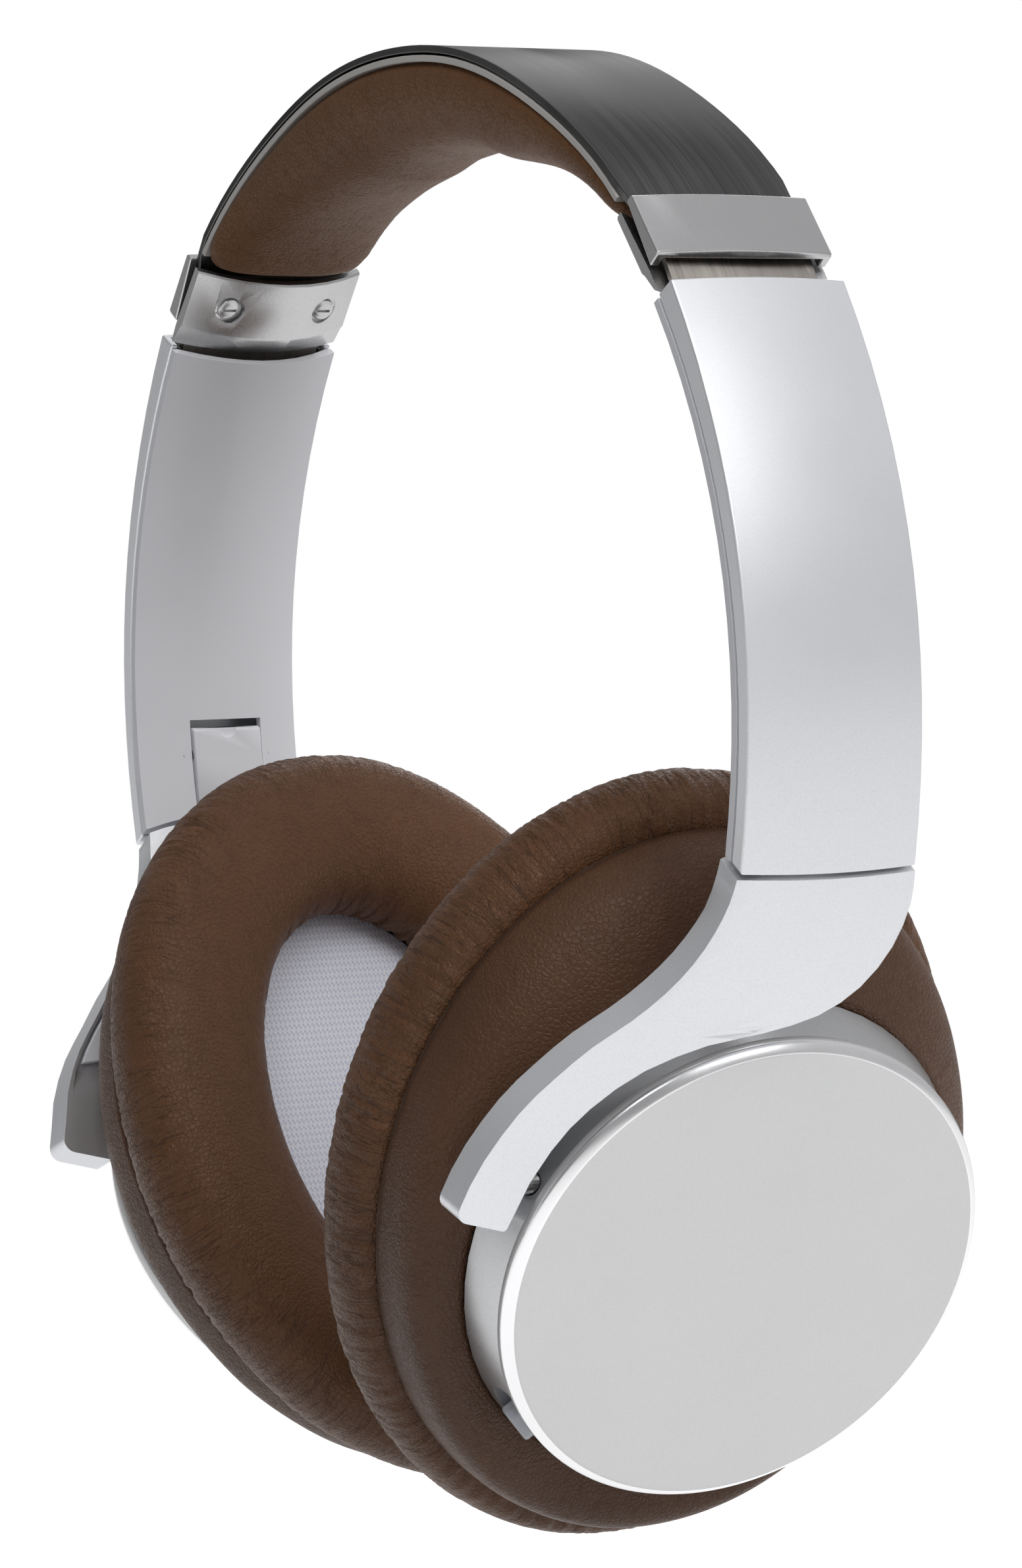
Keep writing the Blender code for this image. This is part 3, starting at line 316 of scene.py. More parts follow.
LOOKS = {"satin_silver": SILVER, "clamp_silver": CLAMP, "brushed_steel": STEEL, "strip_steel": STRIP, "anodised_disc": DISC,
         "white_cover": WHITE, "pale_trim": PALE, "white_cloth": CLOTH, "dark_plastic": DARK, "driver_film": FILM,
         "green_board": BOARD, "battery_wrap": CELL, "button_white": BUTTON, "contact_brass": BRASS, "ribbon_cable": CABLE,
         "brown_leather": BROWN}
SLOT = {s["node"]: s["material_slot"] for s in RECORD["subparts"]}


# ------------------------------------------------------------- hard parts, refined
def link(name, mesh):
    obj = bpy.data.objects.new(name, mesh)
    scene.collection.objects.link(obj)
    return obj


def finish_piece(obj, name, mat, smooth=40.0):
    if mat is not None:
        obj.data.materials.clear()
        obj.data.materials.append(mat)
    obj.data.shade_smooth()
    obj.data.set_sharp_from_angle(angle=math.radians(smooth))
    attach(obj, BODY[name])
    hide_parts(name)
    return obj


def round_tip(bm, side):
    """The yoke's tip: let down a little and its two corners rounded."""
    k = 1 if side == "left" else -1
    ends = [(Vector((k * 54.87, -40.2, -134.5)) * MM, Vector((k * 54.3, -32.3, -135.7)) * MM),
            (Vector((k * 50.37, -40.2, -132.83)) * MM, Vector((k * 49.8, -32.3, -134.03)) * MM)]
    for v in bm.verts:
        for a, b in ends:
            f = min(1.0, max(0.0, (v.co - a).dot(b - a) / (b - a).length_squared))
            if (v.co - a.lerp(b, f)).length < 0.25 * MM:
                v.co += Vector((k * 0.1, -0.33, -0.94)) * ((1.2 + 0.8 * f) * MM)
                break
    for f, offset in ((0.0, 1.8 * MM), (1.0, 3.1 * MM)):
        a, b = (p.lerp(q, f) + Vector((k * 0.1, -0.33, -0.94)) * ((1.2 + 0.8 * f) * MM) for p, q in ends)
        near = lambda p: (p - a.lerp(b, min(1.0, max(0.0, (p - a).dot(b - a) / (b - a).length_squared)))).length < 0.3 * MM
        edges = [e for e in bm.edges if near(e.verts[0].co) and near(e.verts[1].co) and e.calc_length() > 0.3 * MM]
        if edges:
            bmesh.ops.bevel(bm, geom=edges, offset=offset, segments=6, profile=0.5, affect="EDGES", clamp_overlap=True)


def refine(name, width, mat=None, segments=2, angle=30.0, smooth=40.0):
    """A copy of a hard CAD node with its seams welded and its edges rounded over."""
    mesh = bpy.data.meshes.new("fine_" + name)
    bm = bmesh.new()
    bm.from_mesh(NODES[name].data)
    bmesh.ops.remove_doubles(bm, verts=bm.verts, dist=3e-6)
    bmesh.ops.dissolve_limit(bm, angle_limit=math.radians(0.6), verts=bm.verts, edges=bm.edges)
    if name in ("yoke_left", "yoke_right"):
        round_tip(bm, name[5:])
    bmesh.ops.recalc_face_normals(bm, faces=bm.faces)
    if bm.calc_volume(signed=True) < 0:
        bmesh.ops.reverse_faces(bm, faces=bm.faces)
    bm.to_mesh(mesh)
    bm.free()
    obj = link("fine_" + name, mesh)
    finish_piece(obj, name, mat or LOOKS[SLOT[name]], smooth)
    if width:
        mod = obj.modifiers.new("Edges", "BEVEL")
        mod.width = width
        mod.segments = segments
        mod.limit_method = "ANGLE"
        mod.angle_limit = math.radians(angle)
        mod.harden_normals = True
        mod.use_clamp_overlap = True
    return obj


for name, obj in NODES.items():
    obj.data.materials.clear()
    obj.data.materials.append(LOOKS[SLOT[name]])

for side in ("left", "right"):
    refine(f"arm_shell_{side}", 0.32 * MM, SILVER, 3)
    refine(f"arm_cover_{side}", 0.28 * MM, WHITE, 2)
    refine(f"yoke_{side}", 0.45 * MM, SILVER, 3, 28)
    refine(f"yoke_liner_{side}", 0.2 * MM, WHITE)
    refine(f"fold_leaf_{side}", 0.3 * MM, WHITE)
    refine(f"clamp_block_{side}", 0.35 * MM, CLAMP, 3)
    refine(f"clamp_plate_{side}", 0.3 * MM, CLAMP, 3)
    refine(f"slider_strip_{side}", 0.12 * MM, STRIP)
    refine(f"housing_{side}", 0.2 * MM, HOUSING)
    refine(f"strip_guide_{side}", 0.1 * MM, DARK)
    refine(f"baffle_{side}", 0.2 * MM, DARK)
refine("steel_band", 0.16 * MM, STEEL)
refine("band_liner", 0.15 * MM, PALE)
for name in ("button_forward", "button_play", "button_back", "noise_switch"):
    refine(name, 0.45 * MM, BUTTON, 3, 40)
refine("charge_port", 0.15 * MM, CLAMP)
refine("jack_socket", 0.2 * MM, BRASS)

# ------------------------------------------------------- cup geometry, as in the CAD
ARM_TOP_Z = -20.5 * MM
CUP_TURN, CUP_LEAN = math.radians(-4.8), math.radians(-26.0)
RIGHT_EXTRA = math.radians(-6.0)
PIVOT = Vector((53.9, 0, -131.8)) * MM
CUP_O = Vector((55.7, 1.7, -145.8)) * MM
HOUSING_R, HOUSING_DEPTH = 34.7 * MM, 9.8 * MM
SEAM_A, SEAM_B = 40.9 * MM, 48.2 * MM
CUSHION_A, CUSHION_B, CUSHION_T = 43.9 * MM, 53.0 * MM, 15.2 * MM
HOLE_A, HOLE_B = 20.5 * MM, 30.0 * MM


def cup_axes(turn, lean):
    n = Vector((math.cos(lean) * math.cos(turn), math.cos(lean) * math.sin(turn), math.sin(lean)))
    a = Vector((0, 0, 1)).cross(n).normalized()
    return a, n.cross(a), n


A, B, N = cup_axes(CUP_TURN, CUP_LEAN)
PA, PB, PN = cup_axes(CUP_TURN, CUP_LEAN + math.radians(7.5))
SEAM_O = CUP_O - N * (21.2 * MM) + B * (2.0 * MM) - A * (1.6 * MM)
MIRROR = Matrix.Diagonal((-1, 1, 1, 1))
PIVOT_R = MIRROR @ PIVOT
TO_RIGHT = Matrix.Translation(PIVOT_R) @ Matrix.Rotation(RIGHT_EXTRA, 4, "Y") @ Matrix.Translation(-PIVOT_R) @ MIRROR


def disc_point(r, t, depth):
    return CUP_O - N * depth + (A * math.cos(t) + B * math.sin(t)) * r


def seam_point(a, b, t, depth):
    return SEAM_O - PN * depth + PA * (a * math.cos(t)) + PB * (b * math.sin(t))


def smoothstep(x):
    x = min(1.0, max(0.0, x))
    return x * x * (3 - 2 * x)


def grid_mesh(name, sections, closed_rows=True):
    """Closed sections joined in a ring (or capped at both ends)."""
    mesh = bpy.data.meshes.new(name)
    n = len(sections[0])
    verts = [tuple(p) for s in sections for p in s]
    faces = []
    count = len(sections)
    for i in range(count if closed_rows else count - 1):
        k = (i + 1) % count
        for j in range(n):
            m = (j + 1) % n
            faces.append((i * n + j, i * n + m, k * n + m, k * n + j))
    mesh.from_pydata(verts, [], faces)
    bm = bmesh.new()
    bm.from_mesh(mesh)
    if not closed_rows:
        bmesh.ops.holes_fill(bm, edges=bm.edges)
    bmesh.ops.recalc_face_normals(bm, faces=bm.faces)
    if bm.calc_volume(signed=True) < 0:
        bmesh.ops.reverse_faces(bm, faces=bm.faces)
    bm.to_mesh(mesh)
    bm.free()
    return mesh


def plump(obj, pinned, cap, pressure=4.0, frames=20):
    """Inflates a soft piece by cloth simulation, with some points pinned, and keeps the result within cap."""
    rest = [v.co.copy() for v in obj.data.vertices]
    group = obj.vertex_groups.new(name="pin")
    group.add(pinned, 1.0, "REPLACE")
    mod = obj.modifiers.new("Cloth", "CLOTH")
    cs = mod.settings
    cs.quality = 5
    cs.mass = 0.2
    cs.tension_stiffness = cs.compression_stiffness = 12
    cs.shear_stiffness = 8
    cs.bending_stiffness = 0.4
    cs.use_pressure = True
    cs.uniform_pressure_force = pressure
    cs.vertex_group_mass = "pin"
    cs.effector_weights.gravity = 0
    mod.point_cache.frame_start, mod.point_cache.frame_end = 1, frames
    for f in range(1, frames + 1):
        scene.frame_set(f)
    dg = bpy.context.evaluated_depsgraph_get()
    moved = obj.evaluated_get(dg).to_mesh()
    target = [v.co.copy() for v in moved.vertices]
    obj.modifiers.remove(mod)
    obj.vertex_groups.clear()
    for v, r, t in zip(obj.data.vertices, rest, target):
        d = t - r
        if d.length > cap:
            d *= cap / d.length
        v.co = r + d
    scene.frame_set(1)


def subdivide(obj, levels=1):
    mod = obj.modifiers.new("Subd", "SUBSURF")
    mod.levels = mod.render_levels = levels
    dg = bpy.context.evaluated_depsgraph_get()
    mesh = bpy.data.meshes.new_from_object(obj.evaluated_get(dg))
    obj.modifiers.remove(mod)
    old = obj.data
    obj.data = mesh
    bpy.data.meshes.remove(old)


def ridge(x):
    """Soft creases: 1 on a crease line, falling to 0 between them."""
    return max(0.0, 1.0 - abs(x) * 3.4) ** 1.6


def fold_noise(t, u, freq, seed):
    p = Vector((math.cos(t) * freq, math.sin(t) * freq, u * 1.3 + seed))
    return noise.noise(p) + 0.5 * noise.noise(p * 2.1 + Vector((7, 3, 1)))


# --------------------------------------------------------------------- soft goods
AROUND = 360
CUSHION_SHAPE = [(0.86, 0.02), (0.94, 0.08), (0.99, 0.2), (1.02, 0.35), (1.03, 0.5), (1.015, 0.64), (0.97, 0.78), (0.89, 0.9), (0.77, 0.975),
                 (0.62, 1.0), (0.46, 0.985), (0.31, 0.93), (0.18, 0.83), (0.085, 0.7), (0.03, 0.54), (0.0, 0.38), (0.015, 0.22), (0.06, 0.09),
                 (0.12, 0.02), (0.34, 0.015), (0.6, 0.015)]


def cushion_mesh(name):
    sections = []
    for i in range(AROUND):
        t = 2 * math.pi * i / AROUND
        row = []
        for across, up in CUSHION_SHAPE:
            shrink = 0.4 * MM
            a = HOLE_A + shrink + (CUSHION_A - HOLE_A - 2 * shrink) * across
            b = HOLE_B + shrink + (CUSHION_B - HOLE_B - 2 * shrink) * across
            row.append(seam_point(a, b, t, 0.3 * MM + (CUSHION_T - shrink) * up))
        sections.append(row)
    return grid_mesh(name, sections)


def local_on_cushion(p):
    d = p - SEAM_O
    x, y, depth = d.dot(PA), d.dot(PB), -d.dot(PN)
    t = math.atan2(y / CUSHION_B, x / CUSHION_A)
    r = math.hypot(x, y)
    hole = math.hypot(HOLE_A * math.cos(t), HOLE_B * math.sin(t))
    rim = math.hypot(CUSHION_A * math.cos(t), CUSHION_B * math.sin(t))
    return t, (r - hole) / (rim - hole), depth / CUSHION_T


def crease_cushion(obj, seed):
    """Gathers where the leather is drawn into the seam, radial creases over the side, and folds inside the ear hole."""
    mesh = obj.data
    normals = [n.vector.copy() for n in mesh.vertex_normals]
    mask = mesh.attributes.new("creased", "FLOAT", "POINT")
    flat = []
    for i, (v, n) in enumerate(zip(mesh.vertices, normals)):
        t, across, up = local_on_cushion(v.co)
        move = 0.0
        mask.data[i].value = smoothstep((across - 0.55) / 0.3) * smoothstep((1.12 - up) / 0.35) + 0.55 * smoothstep((0.28 - across) / 0.2) * smoothstep((0.9 - up) / 0.4)
        flat.append((t, math.atan2(up - 0.45, across - 0.5) * 11.0))
        outer = smoothstep((across - 0.62) / 0.3)
        inner = smoothstep((0.3 - across) / 0.25)
        top_left = 0.35 + 0.65 * smoothstep((math.cos(t - math.radians(140)) + 0.35) / 0.9)
        # radial creases on the outer side
        f = fold_noise(t, up * 0.7 + across * 0.3, 24.0, seed)
        g = fold_noise(t, up * 0.8 + across * 0.3, 40.0, seed + 11)
        patchy = smoothstep((noise.noise(Vector((math.cos(t) * 2.3, math.sin(t) * 2.3, seed))) + 0.35) / 0.5)
        side = smoothstep((up - 0.02) / 0.15) * smoothstep((1.02 - up) / 0.4)
        move -= 0.24 * MM * ridge(f) * outer * side * (0.35 + 0.65 * patchy) * top_left
        move -= 0.20 * MM * ridge(g) * outer * side * top_left
        # gathers close to the seam
        gather = math.sin(t * 96 + 3.0 * noise.noise(Vector((t * 2, seed, 0)))) * smoothstep((0.24 - up) / 0.2) * outer
        move += 0.12 * MM * gather
        # folds inside the hole
        h = fold_noise(t, up * 0.8, 9.0, seed + 5)
        upper = 0.3 + 0.7 * smoothstep((math.sin(t) + 0.1) / 0.8)
        move -= 0.6 * MM * ridge(h) * inner * smoothstep((0.85 - up) / 0.5) * upper
        # the padding is never quite even
        move += 0.15 * MM * noise.noise(Vector((math.cos(t) * 3, math.sin(t) * 3, up * 1.5 + seed)))
        v.co += n * move
    layer = mesh.uv_layers.new(name="UVMap")
    for poly in mesh.polygons:
        ts = [flat[mesh.loops[k].vertex_index] for k in poly.loop_indices]
        wrap = [max(p[j] for p in ts) - min(p[j] for p in ts) > span for j, span in ((0, math.pi), (1, 34.0))]
        for k, (a, b) in zip(poly.loop_indices, ts):
            if wrap[0] and a < 0:
                a += 2 * math.pi
            if wrap[1] and b < 0:
                b += 22.0 * math.pi
            layer.data[k].uv = (a * 46.0 + seed * 10, b)
    mesh.shade_smooth()


base = link("cushion_base", cushion_mesh("cushion_base"))
rows = len(CUSHION_SHAPE)
pinned = [i * rows + j for i in range(AROUND) for j in (0, 17, 18, 19, 20)]
plump(base, pinned, 1.0 * MM, 3.0)
subdivide(base)


def soft_piece(name, source, mat, cad, right, seed, creaser=None):
    mesh = source.data.copy()
    obj = link(name, mesh)
    if creaser:
        creaser(obj, seed)
    if right:
        mesh.transform(TO_RIGHT)
        mesh.flip_normals()
    mesh.materials.clear()
    mesh.materials.append(mat)
    mesh.shade_smooth()
    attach(obj, BODY[cad])
    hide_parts(cad)
    return obj


for side in ("left", "right"):
    right = side == "right"
    piece = soft_piece(f"leather_cushion_{side}", base, BROWN, f"ear_cushion_{side}", right, 3.7 if right else 1.3, crease_cushion)
bpy.data.objects.remove(base, do_unlink=True)


# The leather cup back, with a full shoulder, drawn in at the rim.
def bezier(p0, p1, p2, p3, t):
    return p0 * (1 - t) ** 3 + p1 * (3 * t * (1 - t) ** 2) + p2 * (3 * t * t * (1 - t)) + p3 * t ** 3


def back_row(angle, inset, steps):
    a = disc_point(HOUSING_R - 0.1 * MM if inset == 0 else 32.4 * MM, angle, HOUSING_DEPTH + 0.45 * MM + inset)
    b = seam_point(SEAM_A - inset, SEAM_B - inset, angle, 0.0)
    corner = seam_point((SEAM_A - inset) * 0.99, (SEAM_B - inset) * 0.99, angle, -(8.9 * MM - inset))
    return [bezier(a, a.lerp(corner, 0.86), b.lerp(corner, 0.86), b, i / (steps - 1)) for i in range(steps)]


back = link("back_base", grid_mesh("back_base", [back_row(2 * math.pi * i / 180, 0.0, 20) + back_row(2 * math.pi * i / 180, 2.0 * MM, 8)[::-1] for i in range(180)]))


def crease_back(obj, seed):
    mesh = obj.data
    normals = [n.vector.copy() for n in mesh.vertex_normals]
    for v, n in zip(mesh.vertices, normals):
        d = v.co - SEAM_O
        depth = d.dot(PN)
        t = math.atan2(d.dot(PB), d.dot(PA))
        near_seam = smoothstep((6 * MM - depth) / (6 * MM))
        g = fold_noise(t, depth * 60, 22.0, seed)
        v.co += n * (-0.14 * MM * ridge(g) * near_seam + 0.10 * MM * noise.noise(Vector((math.cos(t) * 4, math.sin(t) * 4, depth * 90 + seed))))


for side in ("left", "right"):
    soft_piece(f"leather_back_{side}", back, BROWN_BACK, f"cup_back_{side}", side == "right", 2.1 if side == "left" else 6.4, crease_back)
bpy.data.objects.remove(back, do_unlink=True)


def tube_ring(name, path, radius, around=8):
    """A tube along a closed path."""
    sections = []
    n = len(path)
    for i, p in enumerate(path):
        along = (path[(i + 1) % n] - path[i - 1]).normalized()
        u = along.cross(PN).normalized()
        w = along.cross(u).normalized()
        sections.append([p + (u * math.cos(k * 2 * math.pi / around) + w * math.sin(k * 2 * math.pi / around)) * radius for k in range(around)])
    return grid_mesh(name, sections)


for side in ("left", "right"):
    # The welt where the cushion's skin meets the cup's. Its near-black brown is painted shade for the dark seam groove,
    # not the leather's own colour.
    path = [seam_point(SEAM_A - 0.55 * MM, SEAM_B - 0.55 * MM, 2 * math.pi * i / 200, 0.1 * MM) for i in range(200)]
    mesh = tube_ring(f"seam_welt_{side}", path, 0.5 * MM)
    if side == "right":
        mesh.transform(TO_RIGHT)
        mesh.flip_normals()
    welt = link(f"seam_welt_{side}", mesh)
    mesh.materials.append(SEAM_SHADE)
    mesh.shade_smooth()
    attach(welt, f"cup_{side}")

    # The stretched cloth over the driver, single-sided, slightly domed.
    mesh = bpy.data.meshes.new(f"knit_cloth_{side}")
    verts, faces, uvs = [], [], []
    rings_, spokes = 14, 72
    for i in range(rings_ + 1):
        k = i / rings_
        for j in range(spokes):
            t = 2 * math.pi * j / spokes
            x, y = 23.3 * MM * k * math.cos(t), 32.8 * MM * k * math.sin(t)
            depth = 0.52 * MM + 0.7 * MM * (1 - k * k)
            verts.append(SEAM_O + PA * x + PB * y - PN * depth)
            uvs.append((x * 1000, y * 1000))
    for i in range(rings_):
        for j in range(spokes):
            m = (j + 1) % spokes
            quad = (i * spokes + j, (i + 1) * spokes + j, (i + 1) * spokes + m, i * spokes + m)
            faces.append(quad if i else (0, quad[1], quad[2]))
    mesh.from_pydata([tuple(v) for v in verts], [], faces)
    layer = mesh.uv_layers.new(name="UVMap")
    for loop in mesh.loops:
        layer.data[loop.index].uv = uvs[loop.vertex_index]
    bm = bmesh.new()
    bm.from_mesh(mesh)
    bmesh.ops.delete(bm, geom=[v for v in bm.verts if not v.link_faces], context="VERTS")
    bm.to_mesh(mesh)
    bm.free()
    if side == "right":
        mesh.transform(TO_RIGHT)
        mesh.flip_normals()
    cloth = link(f"knit_cloth_{side}", mesh)
    mesh.materials.append(CLOTH)
    mesh.shade_smooth()
    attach(cloth, f"cup_{side}")
    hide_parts(f"baffle_cloth_{side}")

    # The disc: satin face, polished chamfer.
    mesh = bpy.data.meshes.new(f"fine_disc_{side}")
    profile = [(0.0, 0.0), (8, 0.0), (16, 0.0), (24, 0.0), (31.7, 0.0), (32.0, 0.0), (32.25, 0.05), (32.5, 0.2), (33.2, 0.8), (33.42, 1.05), (33.5, 1.4),
               (33.5, 2.3), (33.35, 2.55), (33.0, 2.6), (29.0, 2.6), (29.0, 3.5), (27.4, 3.5), (27.4, 2.6), (0.0, 2.6)]
    spokes = 144
    verts, faces, polished = [], [], []
    for r, d in profile:
        for j in range(spokes):
            verts.append(tuple(disc_point(r * MM, 2 * math.pi * j / spokes, d * MM)))
    for i in range(len(profile) - 1):
        for j in range(spokes):
            m = (j + 1) % spokes
            faces.append((i * spokes + j, i * spokes + m, (i + 1) * spokes + m, (i + 1) * spokes + j))
            polished.append(1 if 6 <= i <= 9 else 0)
    mesh.from_pydata(verts, [], faces)
    for p, k in zip(mesh.polygons, polished):
        p.material_index = k
    bm = bmesh.new()
    bm.from_mesh(mesh)
    bmesh.ops.remove_doubles(bm, verts=bm.verts, dist=1e-7)
    bmesh.ops.recalc_face_normals(bm, faces=bm.faces)
    if bm.calc_volume(signed=True) < 0:
        bmesh.ops.reverse_faces(bm, faces=bm.faces)
    bm.to_mesh(mesh)
    bm.free()
    if side == "right":
        mesh.transform(TO_RIGHT)
        mesh.flip_normals()
    disc = link(f"fine_disc_{side}", mesh)
    mesh.materials.append(DISC)
    mesh.materials.append(POLISH)
    mesh.shade_smooth()
    mesh.set_sharp_from_angle(angle=math.radians(32))
    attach(disc, f"cup_{side}")
    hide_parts(f"disc_cap_{side}")

# ----------------------------------------------------------------------- head pad
BAND_R = (52.17 * MM, 9.85 * MM, 2.24 * MM, 0.52 * MM)


def band_point(theta, depth=0.0):
    def outer(t):
        r = BAND_R[0] + sum(BAND_R[k] * math.cos(2 * k * t) for k in (1, 2, 3))
        return Vector((r * math.cos(t), 0.0, -30.03 * MM + r * math.sin(t)))
    along = (outer(theta + 1e-3) - outer(theta - 1e-3)).normalized()
    return outer(theta) + Vector((-along.z, 0.0, along.x)) * depth


def pad_row(deg):
    near_end = min(deg, 180 - deg)
    along = min(1.0, (near_end - 17.5) / 45.0)
    full = 0.5 * (along + smoothstep(along))
    under = 6.2 * MM + (13.8 * MM - 6.2 * MM) * full
    top = 1.75 * MM
    half = 12.87 * MM - 1.6 * MM * (1 - smoothstep((near_end - 19.0) / 5.0))
    end = 1.0 - 0.35 * (1 - smoothstep((near_end - 19.6) / 1.6))
    t = math.radians(deg)
    row = []
    for i in range(25):
        y = math.sin((-1 + 2 * i / 24) * math.pi / 2)
        crown = (1 - abs(y) ** 2.6) ** (1 / 2.2) if abs(y) < 1 else 0.0
        edge = top + (under - top) * 0.22
        row.append(band_point(t, edge + (under * end + top * (1 - end) - edge) * crown) + Vector((0, y * half * (0.97 + 0.03 * end), 0)))
    for k in range(5):
        y = 1 - 2 * k / 4
        row.append(band_point(t, top) + Vector((0, y * half * 0.995, 0)))
    return row


PAD_STEPS = 116
pad = link("leather_head_pad", grid_mesh("leather_head_pad", [pad_row(19.7 + (180 - 39.4) * i / PAD_STEPS) for i in range(PAD_STEPS + 1)], False))
pinned = [i * 30 + j for i in range(PAD_STEPS + 1) for j in (0, 24, 25, 26, 27, 28, 29)]
pinned += [i * 30 + j for i in (0, PAD_STEPS) for j in range(30)]
plump(pad, sorted(set(pinned)), 0.6 * MM, 2.0)
subdivide(pad)
normals = [n.vector.copy() for n in pad.data.vertex_normals]
for v, n in zip(pad.data.vertices, normals):
    ang = math.atan2(v.co.z + 30.03 * MM, v.co.x)
    f = noise.noise(Vector((ang * 26, v.co.y * 60, 4.2))) + 0.5 * noise.noise(Vector((ang * 55, v.co.y * 90, 1.2)))
    edge = smoothstep((abs(v.co.y) - 7.5 * MM) / (4.5 * MM))
    v.co += n * (-0.05 * MM * ridge(f) * edge + 0.08 * MM * noise.noise(Vector((ang * 5, v.co.y * 120, 0.5))))
pad.data.materials.append(BROWN_PAD)
pad.data.shade_smooth()
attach(pad, "headband")
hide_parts("head_pad")


# ------------------------------------------------------- screws with cross recesses
def screw_head(name, cad):
    src = NODES[cad].data
    pts = [v.co for v in src.vertices]
    centre = sum(pts, Vector()) / len(pts)
    side = -1 if centre.x < 0 else 1
    axis = Vector((-0.7975 * side, 0, -0.603))
    reach = max((p - centre).dot(axis) for p in pts)
    y = (max(p.y for p in pts) + min(p.y for p in pts)) / 2
    top = centre + axis * reach
    top.y = y
    u, w = Vector((0, 1, 0)), axis.cross(Vector((0, 1, 0))).normalized()
    bm = bmesh.new()
    rows = []
    for r, d in ((0.0, 0.12), (0.9, 0.1), (1.35, 0.0), (1.62, -0.16), (1.7, -0.35), (1.7, -0.9), (1.3, -0.9), (0.0, -0.9)):
        rows.append([bm.verts.new(top + axis * ((d - 0.12) * MM) + (u * math.cos(k * math.pi / 14) + w * math.sin(k * math.pi / 14)) * (r * MM)) for k in range(28)])
    for a, b in zip(rows, rows[1:]):
        for k in range(28):
            bm.faces.new((a[k], a[(k + 1) % 28], b[(k + 1) % 28], b[k]))
    bmesh.ops.remove_doubles(bm, verts=bm.verts, dist=1e-7)
    bmesh.ops.recalc_face_normals(bm, faces=bm.faces)
    if bm.calc_volume(signed=True) < 0:
        bmesh.ops.reverse_faces(bm, faces=bm.faces)
    mesh = bpy.data.meshes.new(name)
    bm.to_mesh(mesh)
    bm.free()
    obj = link(name, mesh)
    cross = bmesh.new()
    for p, q in ((u, w), (w, u)):
        m = Matrix((p, q, axis)).transposed().to_4x4()
        m.translation = top
        box = bmesh.new()
        bmesh.ops.create_cube(box, size=1.0)
        box.transform(m @ Matrix.Diagonal((2.0 * MM, 0.42 * MM, 1.0 * MM, 1.0)))
        tmp = bpy.data.meshes.new("tmp")
        box.to_mesh(tmp)
        box.free()
        cutter = link("cross_cutter", tmp)
        mod = obj.modifiers.new("Cross", "BOOLEAN")
        mod.operation = "DIFFERENCE"
        mod.solver = "EXACT"
        mod.object = cutter
        dg = bpy.context.evaluated_depsgraph_get()
        cutmesh = bpy.data.meshes.new_from_object(obj.evaluated_get(dg))
        obj.modifiers.remove(mod)
        obj.data = cutmesh
        bpy.data.objects.remove(cutter, do_unlink=True)
    cross.free()
    finish_piece(obj, cad, CLAMP, 30)
    return obj


for side in ("left", "right"):
    for end in ("front", "rear"):
        screw_head(f"cross_screw_{end}_{side}", f"clamp_screw_{end}_{side}")

# ------------------------------------------------------------------- stage, light
floor_mat, floor_tree, floor_bsdf = new_material("floor_pale")
tone = noise_tex(floor_tree, coords(floor_tree), 3, 2)
floor_tree.links.new(ramp(floor_tree, tone, [(0.3, (0.9, 0.9, 0.9)), (0.7, (0.92, 0.92, 0.92))]), floor_bsdf.inputs["Base Color"])
floor_bsdf.inputs["Roughness"].default_value = 0.9
floor_out = floor_tree.nodes["Material Output"]
glow = floor_tree.nodes.new("ShaderNodeEmission")
glow.inputs["Color"].default_value = (1, 1, 1, 1)
dist = floor_tree.nodes.new("ShaderNodeVectorMath")
dist.operation = "LENGTH"
floor_tree.links.new(coords(floor_tree), dist.inputs[0])
far_off = map_range(floor_tree, dist.outputs["Value"], 0.12, 0.55, 0.0, 1.0)
blend = floor_tree.nodes.new("ShaderNodeMixShader")
add = floor_tree.nodes.new("ShaderNodeAddShader")
lift = floor_tree.nodes.new("ShaderNodeEmission")
lift.inputs["Color"].default_value = (1, 1, 1, 1)
lift.inputs["Strength"].default_value = 0.55
floor_tree.links.new(floor_bsdf.outputs["BSDF"], add.inputs[0])
floor_tree.links.new(lift.outputs["Emission"], add.inputs[1])
floor_tree.links.new(far_off, blend.inputs["Fac"])
floor_tree.links.new(add.outputs["Shader"], blend.inputs[1])
floor_tree.links.new(glow.outputs["Emission"], blend.inputs[2])
floor_tree.links.new(blend.outputs["Shader"], floor_out.inputs["Surface"])
floor_bsdf.inputs["Specular IOR Level"].default_value = 0.1
mesh = bpy.data.meshes.new("floor")
z = CAD_LO.z - 34 * MM
mesh.from_pydata([(6 * math.cos(k * math.pi / 24), 6 * math.sin(k * math.pi / 24), z) for k in range(48)], [], [tuple(range(48))])
floor = link("floor", mesh)
mesh.materials.append(floor_mat)
floor.visible_diffuse = False
floor.visible_glossy = True

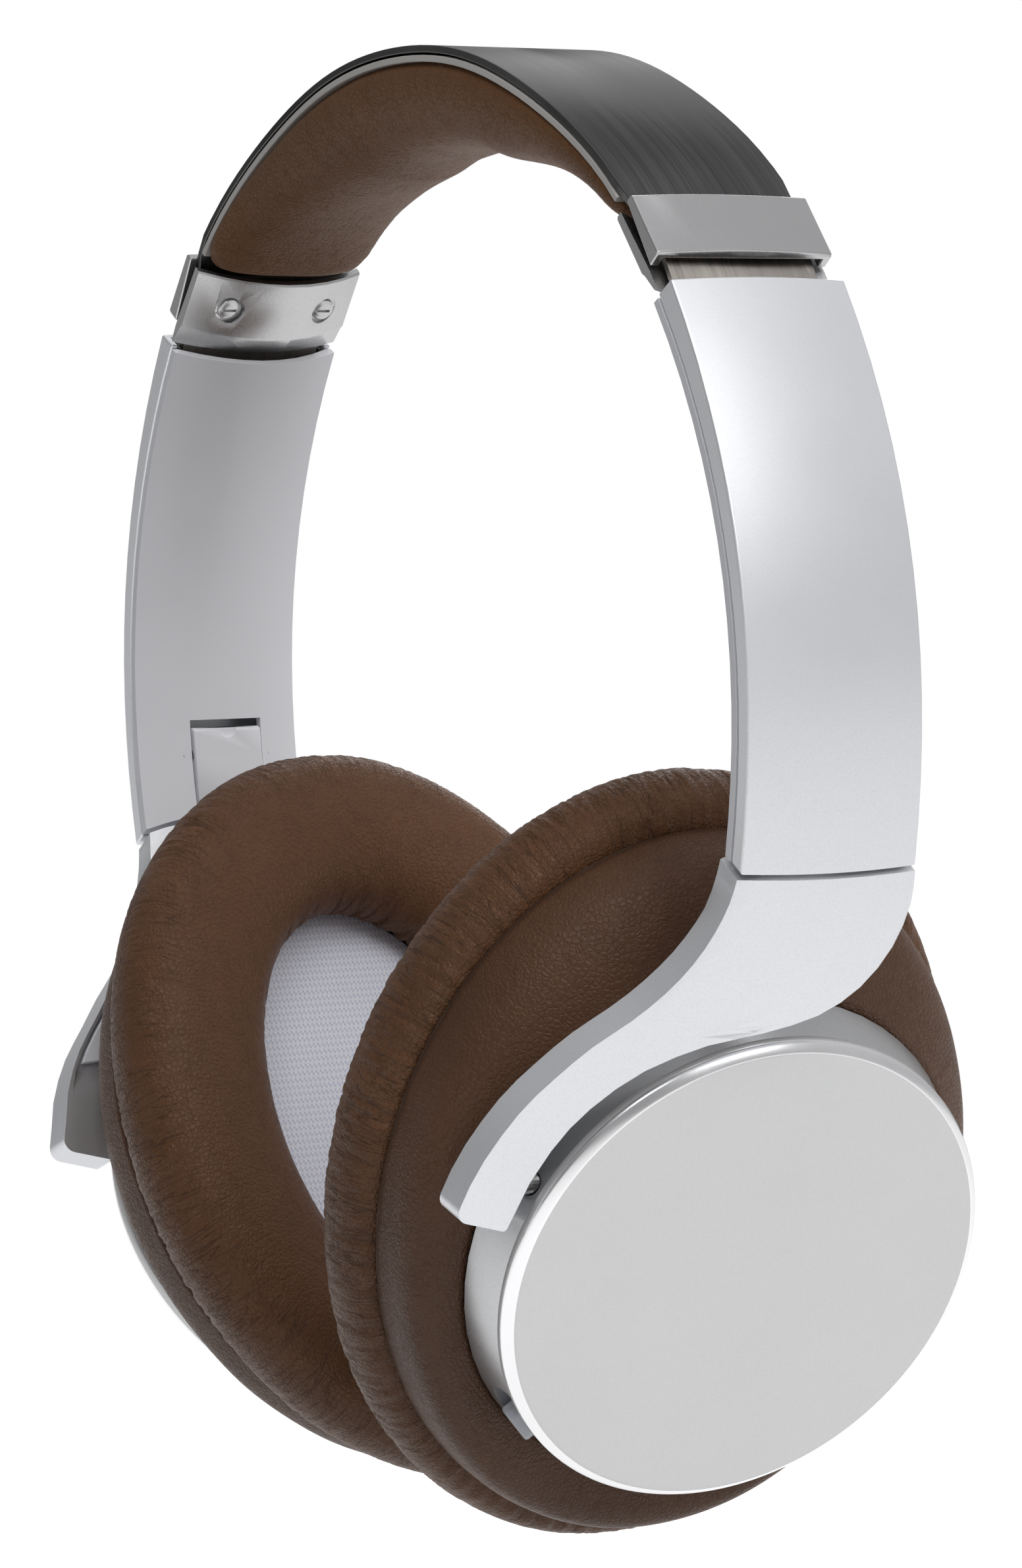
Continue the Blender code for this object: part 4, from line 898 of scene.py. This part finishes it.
world = bpy.data.worlds.new("studio")
scene.world = world
world.use_nodes = True
wt = world.node_tree
back_node = wt.nodes["Background"]
tc = wt.nodes.new("ShaderNodeTexCoord")
sep = wt.nodes.new("ShaderNodeSeparateXYZ")
wt.links.new(tc.outputs["Generated"], sep.inputs[0])
grad = ramp(wt, map_range(wt, sep.outputs["Z"], -0.2, 1.0, 0.0, 1.0), [(0.0, (0.34, 0.34, 0.345)), (0.18, (0.40, 0.40, 0.405)), (0.5, (0.50, 0.50, 0.505)), (1.0, (0.60, 0.60, 0.61))])
path = wt.nodes.new("ShaderNodeLightPath")
mix = wt.nodes.new("ShaderNodeMixRGB")
mix.inputs["Color2"].default_value = (1, 1, 1, 1)
wt.links.new(path.outputs["Is Camera Ray"], mix.inputs["Fac"])
dim = wt.nodes.new("ShaderNodeMixRGB")
dim.blend_type = "MULTIPLY"
dim.inputs["Fac"].default_value = 1.0
wt.links.new(grad, dim.inputs["Color1"])
wt.links.new(ramp(wt, map_range(wt, sep.outputs["Y"], -1.0, 0.8, 0.0, 1.0), [(0.0, (0.42, 0.42, 0.42)), (1.0, (1.12, 1.12, 1.12))]), dim.inputs["Color2"])
wt.links.new(dim.outputs["Color"], mix.inputs["Color1"])
wt.links.new(mix.outputs["Color"], back_node.inputs["Color"])
back_node.inputs["Strength"].default_value = 1.0


def area_light(name, place, target, size, power, colour=(1, 1, 1)):
    data = bpy.data.lights.new(name, "AREA")
    data.shape = "RECTANGLE"
    data.size, data.size_y = size
    data.energy = power
    data.color = colour
    obj = bpy.data.objects.new(name, data)
    scene.collection.objects.link(obj)
    obj.location = place
    obj.rotation_mode = "QUATERNION"
    obj.rotation_quaternion = (Vector(target) - Vector(place)).to_track_quat("-Z", "Y")
    return obj


MID = Vector((0, 0, -0.08))
area_light("key", (0.8, -0.6, 0.85), MID, (0.55, 0.45), 3.2)
area_light("fill", (0.98, 0.1, 0.72), MID, (0.55, 0.8), 5.4)
area_light("top", (-0.05, 0.15, 1.1), MID, (0.7, 0.5), 1.3)
area_light("rim", (-0.8, 0.75, 0.5), MID, (0.3, 0.7), 1.6)

cam_data = bpy.data.cameras.new("camera")
cam = bpy.data.objects.new("camera", cam_data)
scene.collection.objects.link(cam)
right_v = Vector((0.52104, 0.85314, -0.02605))
up_v = Vector((-0.01423, 0.03920, 0.99913))
look = Vector((-0.85341, 0.52021, -0.03257))
m = Matrix((right_v, up_v, -look)).transposed().to_4x4()
m.translation = Vector((0.6679, -0.4044, -0.0588))
cam.matrix_world = m
cam_data.lens = 133.6
cam_data.sensor_width = 36.0
cam_data.clip_start, cam_data.clip_end = 0.05, 30
scene.camera = cam

bpy.context.view_layer.update()
